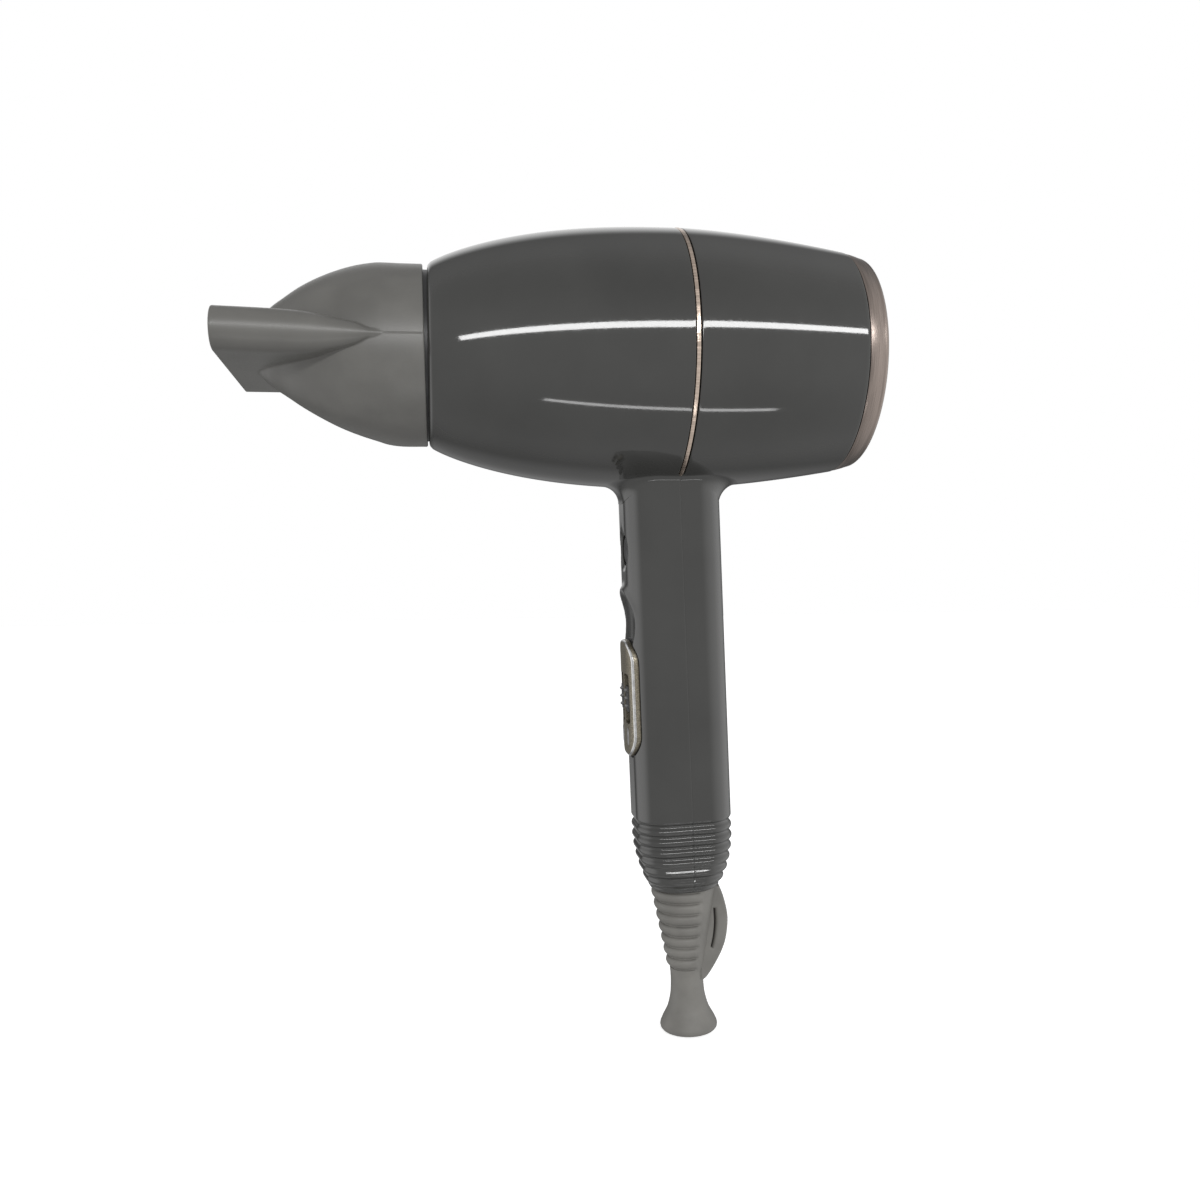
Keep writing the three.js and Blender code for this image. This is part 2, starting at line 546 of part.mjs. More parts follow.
const BUTTON_FACE = 0.5 - HANDLE_HALF;
const buttonCap = turned([
  [BUTTON_FACE + 0.3, 0], [BUTTON_FACE, 4], [BUTTON_FACE + 0.7, BUTTON_R], [-14.6, BUTTON_R],
  [-14.6, 6.6], [-13.6, 6.6], [-13.6, 2.2], [-10.6, 2.2], [-10.6, 0],
], 16);
const button = add(handle, "cool_shot_button", buttonCap, "dark");
button.position.z = BUTTON_Z;
const springPath = helix(-13.2, -7.4, 3.4, 3, 8);
const spring = add(handle, "cool_shot_spring", wireAlong(springPath, 0.35, 24, 4), "steel");
spring.position.z = BUTTON_Z;
const SWITCH_BLOCK = [-6.6, 1, -5, 5, -7, 6.5];
const coolSwitch = add(handle, "cool_shot_switch", box(...SWITCH_BLOCK), "dark");
coolSwitch.position.z = BUTTON_Z;

// ---------------------------------------------------------------- electronics in the handle
add(handle, "circuit_board", box(3.2, 4.8, -13.2, 13.2, -151, -98), "board");
add(handle, "suppression_capacitor", box(5.2, 11.2, -7, 7, -118, -103), "blue");
add(handle, "rectifier", box(5.2, 9.2, -6, 6, -140, -128), "dark");
const clampHole = (y) => rod(-9, 9, CLAMP.screw + GAP, 12).translate([0, y, CLAMP.z]);
const clampBar = box(-3, 0, -CLAMP.half, CLAMP.half, CLAMP.z - 3, CLAMP.z + 3);
const clampHoles = clampHole(CLAMP.y).add(clampHole(-CLAMP.y));
add(handle, "cord_clamp", clampBar.subtract(clampHoles), "dark");
for (const [i, y] of [-CLAMP.y, CLAMP.y].entries()) {
  const screw = rod(-3.4, 5, CLAMP.screw, 12).add(rod(-4.8, -3.3, 2.3, 12));
  const mesh = add(handle, `clamp_screw_${i + 1}`, screw, "steel");
  mesh.position.set(0, y, CLAMP.z);
}

// ---------------------------------------------------------------- cord guard
// A tapered ribbed sleeve with a bell mouth. A thick strap on its rear side stands off it by a
// narrow slit, so that a cord can be passed through to hang the dryer up.
const GUARD_BORE = 3.9;
const GUARD_RIBS = 7;
const GUARD_PITCH = 4.37;
const BELL = [
  [-227.2, 6.3], [-233, 6.1], [-238, 6.6], [-242.5, 7.9], [-246, 9.6],
  [-248.6, 10.7], [-249.8, 10.6], [-250.4, 10],
];
const BELL_BORE = [[-250.4, 8.2], [-246, 5.2], [-240, GUARD_BORE]];

function guardOutline() {
  const flange = [[-184.5, GUARD_BORE], [-184.5, 11.5], [GUARD_SEAT + GAP, 12.2]];
  const groove = [[GUARD_SEAT + GAP, GUARD_NECK_R], [HANDLE_FOOT - GAP, GUARD_NECK_R]];
  const ribs = [];
  for (let i = 0; i < GUARD_RIBS; i += 1) {
    const z = HANDLE_FOOT - GAP - 0.4 - i * GUARD_PITCH;
    const r = 12 - 0.78 * i;
    ribs.push([z, r], [z - 3, r - 0.4], [z - 3.5, r - 1.3]);
  }
  return [...flange, ...groove, ...ribs, ...BELL, ...BELL_BORE];
}

const STRAP_HALF = 4.5;
function strapLoop() {
  const vectors = (list) => list.map(([x, z]) => new THREE.Vector2(x, z));
  const shape = new THREE.Shape().moveTo(5, HANDLE_FOOT - GAP).lineTo(12.9, HANDLE_FOOT - GAP);
  const back = [[14.4, -200.6], [15.6, -206.3], [15.7, -211.2], [14.4, -218]];
  shape.splineThru(vectors([...back, [11.6, -223.9], [7.2, -230.3], [5, -232]]));
  const eye = new THREE.Path().moveTo(10.3, -205);
  eye.splineThru(vectors([[10.4, -210], [9.8, -215], [8.7, -219.5]])).lineTo(9.5, -219.9);
  eye.splineThru(vectors([[10.7, -215.2], [11.2, -210], [11.1, -205]]));
  shape.holes.push(eye);
  const options = { depth: 2 * STRAP_HALF, bevelEnabled: false, curveSegments: 3 };
  const made = new THREE.ExtrudeGeometry(shape, options);
  return solid(made.rotateX(Math.PI / 2).translate(0, STRAP_HALF, 0));
}

const guardSleeve = turned(guardOutline(), 16).rotate([0, -90, 0]);
const guardBore = uprightRod(-256, -180, GUARD_BORE, 16);
add(handle, "cord_guard", guardSleeve.add(strapLoop().subtract(guardBore)), "rubber");

// ---------------------------------------------------------------- screws
HANDLE_SCREW_Z.forEach((z, i) => {
  const headX = SCREW_HEAD_X + GAP;
  const screw = rod(-6, headX, POST_BORE - GAP, 12).add(rod(headX, headX + 2, 2.7, 16));
  const mesh = add(handle, `handle_screw_${i + 1}`, screw, "steel");
  mesh.position.z = z;
});

export default part;
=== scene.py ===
import json
import math

import bmesh
import bpy
import numpy as np
from mathutils import Matrix, Quaternion, Vector


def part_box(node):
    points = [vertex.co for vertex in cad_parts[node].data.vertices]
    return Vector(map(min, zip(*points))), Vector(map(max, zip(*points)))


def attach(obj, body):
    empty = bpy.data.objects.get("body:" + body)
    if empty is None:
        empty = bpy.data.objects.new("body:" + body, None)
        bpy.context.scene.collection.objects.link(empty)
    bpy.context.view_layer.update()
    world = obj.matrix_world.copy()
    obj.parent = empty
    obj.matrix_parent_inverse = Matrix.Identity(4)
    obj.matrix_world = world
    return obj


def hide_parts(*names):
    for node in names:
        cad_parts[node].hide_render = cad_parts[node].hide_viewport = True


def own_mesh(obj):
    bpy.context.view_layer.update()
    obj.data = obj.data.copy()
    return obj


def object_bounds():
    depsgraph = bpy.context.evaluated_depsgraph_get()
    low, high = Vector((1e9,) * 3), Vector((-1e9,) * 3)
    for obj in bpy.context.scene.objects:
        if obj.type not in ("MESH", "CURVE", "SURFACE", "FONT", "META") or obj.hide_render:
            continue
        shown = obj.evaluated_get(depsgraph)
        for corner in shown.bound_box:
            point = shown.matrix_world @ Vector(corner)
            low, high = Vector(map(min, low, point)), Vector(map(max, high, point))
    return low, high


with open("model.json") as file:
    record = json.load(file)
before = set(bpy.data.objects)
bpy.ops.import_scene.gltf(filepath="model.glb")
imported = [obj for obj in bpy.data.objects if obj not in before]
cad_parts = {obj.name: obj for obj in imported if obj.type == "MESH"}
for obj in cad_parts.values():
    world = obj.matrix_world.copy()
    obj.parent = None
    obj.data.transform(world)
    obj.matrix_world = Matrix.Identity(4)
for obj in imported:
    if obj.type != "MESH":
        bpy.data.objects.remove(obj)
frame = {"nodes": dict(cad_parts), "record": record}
CAD_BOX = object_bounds()
MM = 0.001

# ------------------------------------------------------------------ the frame, in millimetres
# Points are worked out in the barrel's frame, as the part is drawn: X along the barrel from the
# trim ring, -X at the nozzle. The rear hub's face is the row's origin.
ORIGIN_X = -(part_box("trim_ring")[0][0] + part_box("trim_ring")[1][0]) / 2 / MM
LEAN = math.radians(1.94)
HANDLE_X = -2.85


def low(node, axis):
    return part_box(node)[0][axis] / MM + (ORIGIN_X if axis == 0 else 0)


def high(node, axis):
    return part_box(node)[1][axis] / MM + (ORIGIN_X if axis == 0 else 0)


RING_R = 47.0
FRONT_X, FRONT_R = -88.7, 32.0
REAR_X, REAR_R = 61.6, 40.5
SIDE_HALF = 16.0
HANDLE_HALF = 17.9
CORNER_R = 11.5
TAPER_TOP, HANDLE_FOOT, FOOT_TAPER = -176.0, -195.8, 4.8
RIB_TOP, RIB_PITCH, GROOVE_DEPTH = -170.4, 3.95, 0.85
THUMB_Z, THUMB_HALF_LENGTH, THUMB_HALF_WIDTH = -96.3, 12.5, 10.5
THUMB_DEPTH, LIP_HEIGHT, LIP_WIDTH = 1.9, 1.25, 0.13
BUTTON_DISH_R, BUTTON_DISH_DEPTH = 7.6, 1.5
SEAM_OFFSET = 1.2
MOUTH_X = low("nozzle_shell", 0)
NOZZLE_BACK, NOZZLE_SLANT = -89.8, 0.55
NOZZLE_TURN = math.radians(-3.5)
NOZZLE_WALL = 1.8
PLATE_Z, BUTTON_Z = -124.0, -69.4
PLATE_HALF_WIDTH, PLATE_HALF_HEIGHT, PLATE_CORNER, PLATE_PROUD = 10.7, 21.5, 8.5, 1.6
PLATE_FACE = -HANDLE_HALF - PLATE_PROUD
PLATE_CLEARANCE, PLATE_UNDERSIDE = 0.85, -14.8
BUTTON_HOLE_R = 5.65
SLIDER_Y = 4.5
GUARD_BORE = 3.9


# ------------------------------------------------------------------ camera
def make_camera():
    cam = bpy.data.objects.new("camera", bpy.data.cameras.new("camera"))
    bpy.context.scene.collection.objects.link(cam)
    cam.data.lens = 33.22
    cam.data.sensor_width = 36
    cam.data.clip_start, cam.data.clip_end = 0.01, 20
    right = Vector((0.98959, -0.14366, -0.00818))
    up = Vector((0.01310, 0.03336, 0.99936))
    forward = Vector((0.14330, 0.98906, -0.03489))
    turn = Matrix((right, up, -forward)).transposed()
    place = Vector((-85.81 - ORIGIN_X, -405.40, -73.91)) * MM
    cam.matrix_world = Matrix.Translation(place) @ turn.to_4x4()
    bpy.context.scene.camera = cam


make_camera()


# ------------------------------------------------------------------ materials
def node_material(name, colour, roughness, metallic=0.0, **extra):
    """A Principled material with its constants on the shader's own sockets."""
    material = bpy.data.materials.new(name)
    material.use_nodes = True
    shader = material.node_tree.nodes["Principled BSDF"]
    shader.inputs["Base Color"].default_value = (*colour, 1)
    shader.inputs["Roughness"].default_value = roughness
    shader.inputs["Metallic"].default_value = metallic
    for socket, value in extra.items():
        shader.inputs[socket.replace("_", " ")].default_value = value
    return material


def add_node(material, kind, **inputs):
    node = material.node_tree.nodes.new(kind)
    for socket, value in inputs.items():
        node.inputs[socket.replace("_", " ")].default_value = value
    return node


def wire(material, source, output, target, socket):
    material.node_tree.links.new(source.outputs[output], target.inputs[socket])


def coordinates(material, scale=(1, 1, 1)):
    """Object coordinates in metres, stretched by scale."""
    place = material.node_tree.nodes.new("ShaderNodeTexCoord")
    mapping = material.node_tree.nodes.new("ShaderNodeMapping")
    mapping.inputs["Scale"].default_value = scale
    wire(material, place, "Object", mapping, "Vector")
    return mapping


def vary(material, source, output, socket, low_value, high_value, start=0.3, end=0.7):
    """Feeds a texture, remapped to a range, into one of the shader's sockets."""
    shader = material.node_tree.nodes["Principled BSDF"]
    ramp = material.node_tree.nodes.new("ShaderNodeMapRange")
    ramp.inputs["From Min"].default_value = start
    ramp.inputs["From Max"].default_value = end
    ramp.inputs["To Min"].default_value = low_value
    ramp.inputs["To Max"].default_value = high_value
    wire(material, source, output, ramp, "Value")
    wire(material, ramp, "Result", shader, socket)


def tint(material, source, output, dark, light, start=0.3, end=0.7):
    """Feeds a texture through a two-colour ramp into the base colour."""
    shader = material.node_tree.nodes["Principled BSDF"]
    ramp = material.node_tree.nodes.new("ShaderNodeValToRGB")
    ramp.color_ramp.elements[0].position = start
    ramp.color_ramp.elements[0].color = (*dark, 1)
    ramp.color_ramp.elements[1].position = end
    ramp.color_ramp.elements[1].color = (*light, 1)
    wire(material, source, output, ramp, "Fac")
    wire(material, ramp, "Color", shader, "Base Color")


def bump(material, source, output, strength, distance):
    shader = material.node_tree.nodes["Principled BSDF"]
    node = add_node(material, "ShaderNodeBump", Strength=strength, Distance=distance)
    wire(material, source, output, node, "Height")
    wire(material, node, "Normal", shader, "Normal")


def noise(material, scale, detail=3, stretch=(1, 1, 1)):
    texture = add_node(material, "ShaderNodeTexNoise", Scale=scale, Detail=detail)
    wire(material, coordinates(material, stretch), "Vector", texture, "Vector")
    return texture


def shade(colour, factor):
    return tuple(min(1, channel * factor) for channel in colour)


def gloss_casing():
    """High-gloss moulded plastic: barely waved, with faint dust and polishing marks."""
    colour = (0.028, 0.028, 0.0265)
    material = node_material("gloss_casing", colour, 0.06, Coat_Weight=0.25, Coat_Roughness=0.03)
    cloud = noise(material, 35, 4)
    tint(material, cloud, "Fac", shade(colour, 0.9), shade(colour, 1.12))
    dust = noise(material, 900, 2)
    vary(material, dust, "Fac", "Roughness", 0.045, 0.09)
    bump(material, noise(material, 22, 1), "Fac", 0.05, 0.0006)
    return material


def satin_plastic(name, colour, roughness, grain=2600):
    """Moulded plastic with a fine spark-eroded grain."""
    material = node_material(name, colour, roughness)
    cloud = noise(material, 60, 4)
    tint(material, cloud, "Fac", shade(colour, 0.88), shade(colour, 1.12))
    fine = noise(material, grain, 2)
    vary(material, fine, "Fac", "Roughness", roughness - 0.06, roughness + 0.06)
    bump(material, fine, "Fac", 0.25, 0.00008)
    return material


def brushed_metal(name, colour, roughness, stretch, scale=900):
    """Metal brushed along one direction: the grain is noise drawn out along it."""
    material = node_material(name, colour, roughness, 1.0)
    grain = noise(material, scale, 3, stretch)
    tint(material, grain, "Fac", shade(colour, 0.8), shade(colour, 1.15))
    vary(material, grain, "Fac", "Roughness", roughness - 0.08, roughness + 0.1)
    bump(material, grain, "Fac", 0.12, 0.00003)
    return material


def textured_plate():
    """Champagne metallic finish with a fine regular stipple."""
    colour = (0.235, 0.21, 0.16)
    material = node_material("champagne_plate", colour, 0.34, 0.85)
    cells = add_node(material, "ShaderNodeTexVoronoi", Scale=2200)
    wire(material, coordinates(material), "Vector", cells, "Vector")
    tint(material, cells, "Distance", shade(colour, 1.25), shade(colour, 0.6), 0.1, 0.6)
    vary(material, cells, "Distance", "Roughness", 0.28, 0.5, 0.1, 0.6)
    bump(material, cells, "Distance", 0.5, 0.0001)
    return material


def weathered_rubber():
    """Matt rubber with a faint bloom and a fine tooth."""
    colour = (0.125, 0.121, 0.111)
    material = node_material("cord_rubber", colour, 0.72)
    cloud = noise(material, 90, 5)
    tint(material, cloud, "Fac", shade(colour, 0.85), shade(colour, 1.15))
    fine = noise(material, 3200, 2)
    vary(material, fine, "Fac", "Roughness", 0.48, 0.66)
    bump(material, fine, "Fac", 0.3, 0.00006)
    return material


def wound_wire():
    material = node_material("resistance_wire", (0.32, 0.32, 0.34), 0.35, 1.0)
    bands = add_node(material, "ShaderNodeTexWave", Scale=260, Distortion=0.4)
    wire(material, coordinates(material), "Vector", bands, "Vector")
    tint(material, bands, "Fac", (0.12, 0.11, 0.12), (0.42, 0.41, 0.42), 0.2, 0.8)
    bump(material, bands, "Fac", 0.5, 0.0002)
    return material


def printed_board():
    material = node_material("board_green", (0.03, 0.16, 0.06), 0.4)
    tracks = add_node(material, "ShaderNodeTexBrick", Scale=220)
    tracks.inputs["Color1"].default_value = (0.03, 0.16, 0.06, 1)
    tracks.inputs["Color2"].default_value = (0.035, 0.19, 0.07, 1)
    tracks.inputs["Mortar"].default_value = (0.10, 0.25, 0.09, 1)
    wire(material, coordinates(material), "Vector", tracks, "Vector")
    shader = material.node_tree.nodes["Principled BSDF"]
    wire(material, tracks, "Color", shader, "Base Color")
    bump(material, tracks, "Fac", 0.2, 0.00005)
    return material


def make_materials():
    return {
        "gloss_casing": gloss_casing(),
        "satin_nozzle": satin_plastic("satin_nozzle", (0.094, 0.092, 0.0855), 0.37),
        "dark_plastic": satin_plastic("dark_plastic", (0.02, 0.02, 0.021), 0.4),
        "rose_gold": brushed_metal("rose_gold", (0.60, 0.49, 0.41), 0.2, (0.02, 1, 1), 1800),
        "bronze": brushed_metal("bronze", (0.245, 0.205, 0.183), 0.3, (1, 0.03, 0.03), 2600),
        "champagne_plate": textured_plate(),
        "cord_rubber": weathered_rubber(),
        "filter_steel": brushed_metal("filter_steel", (0.4, 0.4, 0.41), 0.38, (1, 0.1, 1)),
        "inner_plastic": satin_plastic("inner_plastic", (0.016, 0.016, 0.018), 0.45),
        "mica": satin_plastic("mica", (0.5, 0.38, 0.22), 0.55, 700),
        "resistance_wire": wound_wire(),
        "steel": brushed_metal("steel", (0.5, 0.5, 0.5), 0.24, (0.1, 1, 1)),
        "brass": brushed_metal("brass", (0.6, 0.43, 0.15), 0.28, (0.1, 1, 1)),
        "ferrite": satin_plastic("ferrite", (0.03, 0.03, 0.034), 0.6, 1500),
        "board_green": printed_board(),
        "capacitor_blue": satin_plastic("capacitor_blue", (0.02, 0.06, 0.26), 0.25, 500),
    }


MATERIALS = make_materials()
SLOT_OF = {row["node"]: row["material_slot"] for row in frame["record"]["subparts"]}
BODY_OF = {n: body for body, nodes in frame["record"]["behaviour"]["bodies"].items() for n in nodes}


# ------------------------------------------------------------------ mesh tools
SHARP_ANGLE = 35


def arc(centre, radius, start, end, steps):
    """Points of an arc, its angles in degrees."""
    return [
        (
            centre[0] + radius * math.cos(math.radians(a)),
            centre[1] + radius * math.sin(math.radians(a)),
        )
        for a in np.linspace(start, end, steps + 1)
    ]


def piece(name, vertices, faces, node, sharp=SHARP_ANGLE):
    """A smooth mesh from barrel-frame millimetres that stands for a CAD node."""
    mesh = bpy.data.meshes.new(name)
    points = (np.asarray(vertices, float) - (ORIGIN_X, 0, 0)) * MM
    mesh.from_pydata(points.tolist(), [], faces)
    mesh.update()
    obj = bpy.data.objects.new(name, mesh)
    bpy.context.scene.collection.objects.link(obj)
    recalculated(obj)
    mesh.shade_smooth()
    mesh.set_sharp_from_angle(angle=math.radians(sharp))
    mesh.materials.append(MATERIALS[SLOT_OF[node]])
    return obj


def dress(obj, node):
    """The piece moves with a CAD node's body and is shown instead of the node."""
    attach(obj, BODY_OF[node])
    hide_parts(node)
    return obj


def grid_faces(rows, columns, close_rows=False, close_columns=True):
    """Quads over a grid of vertices, row by row."""
    faces = []
    for i in range(rows if close_rows else rows - 1):
        for j in range(columns if close_columns else columns - 1):
            k, n = (i + 1) % rows, (j + 1) % columns
            faces.append((i * columns + j, i * columns + n, k * columns + n, k * columns + j))
    return faces


def turned(profile, segments=192):
    """A closed profile of (x, radius) turned about the barrel's axis."""
    angles = np.linspace(0, 2 * math.pi, segments, endpoint=False)
    points = [
        (x, r * math.cos(a), r * math.sin(a)) for x, r in profile for a in angles
    ]
    return np.array(points), grid_faces(len(profile), segments, close_rows=True)


def joined(*meshes):
    """Several (vertices, faces) as one."""
    vertices, faces, offset = [], [], 0
    for points, quads in meshes:
        vertices.append(np.asarray(points))
        faces += [tuple(i + offset for i in f) for f in quads]
        offset += len(points)
    return np.concatenate(vertices), faces


def handle_point(x, y, z):
    """A point of the leaning handle's own frame in the barrel's frame."""
    return (
        HANDLE_X + x * math.cos(LEAN) - z * math.sin(LEAN),
        y,
        x * math.sin(LEAN) + z * math.cos(LEAN),
    )


def in_handle(mesh):
    """Takes (vertices, faces) from the handle's own frame to the barrel's."""
    moved = np.array(handle_point(*np.asarray(mesh[0], float).T)).T
    return moved, mesh[1]


def prism(outline, low_x, high_x):
    """A closed outline of (y, z) points driven along X."""
    count = len(outline)
    points = [(x, y, z) for x in (low_x, high_x) for y, z in outline]
    faces = grid_faces(2, count) + [tuple(range(count))[::-1], tuple(range(count, 2 * count))]
    return np.array(points), faces


def cut(obj, mesh):
    """Cuts a closed (vertices, faces) out of an object."""
    tool = piece("tool", *mesh, "front_casing")
    recalculated(obj)
    modifier = obj.modifiers.new("cut", "BOOLEAN")
    modifier.operation = "DIFFERENCE"
    modifier.solver = "EXACT"
    modifier.object = tool
    bpy.context.view_layer.update()
    graph = bpy.context.evaluated_depsgraph_get()
    result = bpy.data.meshes.new_from_object(obj.evaluated_get(graph))
    obj.modifiers.clear()
    obj.data = result
    bpy.data.objects.remove(tool)
    result.shade_smooth()
    result.set_sharp_from_angle(angle=math.radians(SHARP_ANGLE))


def recalculated(obj):
    """Turns every face of a closed mesh outwards."""
    tidy = bmesh.new()
    tidy.from_mesh(obj.data)
    bmesh.ops.recalc_face_normals(tidy, faces=tidy.faces)
    tidy.to_mesh(obj.data)
    tidy.free()


def rounded(profile, radius=0.4, steps=3, sharp=20):
    """Rounds the corners of a closed profile that turn by more than a few degrees."""
    out, count = [], len(profile)
    for i, here in enumerate(profile):
        a, p, b = (np.array(q, float) for q in (profile[i - 1], here, profile[(i + 1) % count]))
        u, v = a - p, b - p
        lu, lv = np.linalg.norm(u), np.linalg.norm(v)
        turn = math.degrees(math.acos(np.clip(-(u @ v) / (lu * lv), -1, 1)))
        if turn < sharp:
            out.append(tuple(p))
            continue
        reach = min(radius, lu * 0.45, lv * 0.45)
        start, end = p + u / lu * reach, p + v / lv * reach
        for t in np.linspace(0, 1, steps + 1):
            out.append(tuple((1 - t) ** 2 * start + 2 * t * (1 - t) * p + t**2 * end))
    return out


# ------------------------------------------------------------------ barrel
def barrel_radius(x):
    """The barrel swells quickly from its outlet and narrows gently behind the trim ring."""
    if x > 0:
        return RING_R - (RING_R - REAR_R) * (x / REAR_X) ** 1.6
    share = x / FRONT_X
    return FRONT_R + (RING_R - FRONT_R) * (1 - share**2.4) ** 0.83


WALL = 2.4
SOCKET_R = 30.4
SOCKET_END = -69.0
RING_GAP = 1.05


def front_barrel():
    t = 1 - np.linspace(0, 1, 60) ** 1.6
    skin = [(x, barrel_radius(x)) for x in FRONT_X * t[1:]]
    skin = [(x, r) for x, r in skin[:-1] if x > FRONT_X + 0.9]
    skin.append((-RING_GAP, barrel_radius(-RING_GAP)))
    rim = [(FRONT_X, FRONT_R - 0.9), (FRONT_X + 0.1, FRONT_R - 0.45), (FRONT_X + 0.35, FRONT_R)]
    inner = [(x, barrel_radius(x) - WALL) for x in np.linspace(-RING_GAP, -62, 24)]
    socket = [(SOCKET_END, SOCKET_R), (FRONT_X, SOCKET_R)]
    return turned(rounded(rim + skin + inner + socket, 0.35, 4, 40))


def rear_barrel():
    skin = [(x, barrel_radius(x)) for x in np.linspace(RING_GAP, REAR_X, 44)]
    inner = [(x, barrel_radius(x) - WALL) for x in np.linspace(REAR_X, RING_GAP, 20)]
    return turned(rounded(skin + inner, 0.35, 4, 30))


# ------------------------------------------------------------------ handle
def section(half_x, half_y, corner, count):
    """A rounded rectangle from the middle of the front, through +Y, round to the front again:
    (x, y, outward x, outward y) at even steps of its length."""
    corner = min(corner, half_x - 0.01, half_y - 0.01)
    dense = []
    for sx, sy, start in ((-1, 1, 180), (1, 1, 90), (1, -1, 0), (-1, -1, -90)):
        for a in np.radians(np.linspace(start, start - 90, 33)):
            c, s = math.cos(a), math.sin(a)
            x, y = sx * (half_x - corner) + corner * c, sy * (half_y - corner) + corner * s
            dense.append((x, y, c, s))
    first = (-half_x, 0, -1, 0)
    dense = np.array([first] + dense + [first])
    steps = np.r_[0, np.cumsum(np.hypot(*np.diff(dense[:, :2], axis=0).T))]
    at = np.linspace(0, steps[-1], count, endpoint=False)
    return np.array([np.interp(at, steps, dense[:, k]) for k in range(4)]).T


def grip_ribs(z):
    """How far the grip ribs' grooves go in at a height on the handle's axis."""
    phase = (RIB_TOP - z) / RIB_PITCH
    if phase < -0.5:
        return 0.0
    return GROOVE_DEPTH * (0.5 + 0.5 * math.cos(2 * math.pi * phase)) ** 1.3


def half_width(z):
    if z > TAPER_TOP:
        return HANDLE_HALF
    down = (TAPER_TOP - z) / (TAPER_TOP - HANDLE_FOOT)
    return HANDLE_HALF - FOOT_TAPER * down**1.7


def thumb_relief(y, z):
    """The dished thumb rest and its raised upper lip on the handle's front. Outwards is positive."""
    v, u = (z - THUMB_Z) / THUMB_HALF_LENGTH, y / THUMB_HALF_WIDTH
    reach = math.hypot(u, v)
    dish = -THUMB_DEPTH * max(0.0, 1 - reach**2) ** 0.7
    lip = LIP_HEIGHT * math.exp(-(((reach - 1.0) / LIP_WIDTH) ** 2)) * max(0.0, v) ** 1.5
    fade = 1.0 / (1 + math.exp(2.2 * (abs(y) - 11)))
    return (dish + lip) * fade


def button_dish(y, z):
    """The shallow dish round the cool-shot button. Outwards is positive."""
    reach = math.hypot(y, z - BUTTON_Z) / BUTTON_DISH_R
    return -BUTTON_DISH_DEPTH * max(0.0, 1 - reach**2) ** 0.7


SECTION_POINTS = 176
FILLET_STEPS = 12
# The fillet's radius at the handle's sides, and how much larger it is in front and behind.
FILLET_SIDE, FILLET_FRONT, FILLET_BACK = 4.0, 2.5, 5.0


def handle_rows():
    """Heights of the handle's rows: dense where the surface has detail."""
    breaks = [(-49, -62, 8), (-62, -112, 100), (-112, -168, 24), (-168, HANDLE_FOOT, 130)]
    rows = []
    for start, end, count in breaks:
        rows += list(np.linspace(start, end, count, endpoint=False))
    return rows + [HANDLE_FOOT]


def fillet_rows(wall):
    """A rolling ball's path from each point of the handle's wall up on to the barrel."""
    rows = []
    for step in range(FILLET_STEPS + 1):
        ring = []
        for x, y, nx, ny in wall:
            radius = FILLET_SIDE + (FILLET_FRONT if nx < 0 else FILLET_BACK) * nx**2
            cx = handle_point(x + radius * nx, 0, -48)[0]
            cy = y + radius * ny
            reach = barrel_radius(cx) + radius
            cz = -math.sqrt(reach**2 - cy**2)
            to_wall = np.array([-nx, -ny, 0.0])
            to_barrel = np.array([0.0, -cy, -cz]) / reach
            angle = math.acos(np.clip(to_wall @ to_barrel, -1, 1))
            t = step / FILLET_STEPS
            mix = math.sin((1 - t) * angle) * to_wall + math.sin(t * angle) * to_barrel
            ring.append(np.array([cx, cy, cz]) + radius * (mix / math.sin(angle)))
        rows.append(ring)
    ring = [p * (1, 0.97, 0.97) for p in (np.array(q) for q in rows[-1])]
    return rows + [ring]


def handle_outside():
    """Rings of points down the handle's outside, from inside the barrel to the foot."""
    wall = section(HANDLE_HALF, SIDE_HALF, CORNER_R, SECTION_POINTS)
    rings = fillet_rows(wall)[::-1]
    for z in handle_rows():
        half_x = half_width(z)
        half_y = min(SIDE_HALF, half_x - 0.3)
        foot = 0.8 * max(0.0, 1 - (z - HANDLE_FOOT) / 1.2) ** 2
        ring = []
        for x, y, nx, ny in section(half_x, half_y, CORNER_R, SECTION_POINTS):
            out = -grip_ribs(z) - foot
            if nx < -0.2:
                out += (thumb_relief(y, z) + button_dish(y, z)) * min(1, (-nx - 0.2) * 2)
            ring.append(handle_point(x + out * nx, y + out * ny, z))
        rings.append(ring)
    return np.array(rings)


SEAM_GAP = 0.012
SEAM_ROUND = 0.3
SEAM_DIP = 0.12
HALF_POINTS = 48
HANDLE_INNER_SHARE = 0.86


def seam_paths(ring, side):
    """The two ways round one handle section, from its front or back middle to the seam."""
    seam = HANDLE_X + SEAM_OFFSET - ring[0][2] * math.tan(LEAN) + side * SEAM_GAP
    half = SECTION_POINTS // 2
    paths = []
    for column in (ring[: half + 1], np.vstack([ring[half:], ring[:1]])[::-1]):
        steps = np.r_[0, np.cumsum(np.linalg.norm(np.diff(column, axis=0), axis=1))]
        at = np.interp(seam, column[:, 0], steps)
        ends = (0, at) if side < 0 else (steps[-1], at)
        share = np.r_[np.linspace(0, 1 - SEAM_ROUND / abs(ends[1] - ends[0]), HALF_POINTS), 1]
        spread = ends[0] + (ends[1] - ends[0]) * share
        path = np.array([np.interp(spread, steps, column[:, k]) for k in range(3)]).T
        path[-1, 1] *= 1 - SEAM_DIP / max(abs(path[-1, 1]), 1)
        paths.append(path)
    return seam, paths


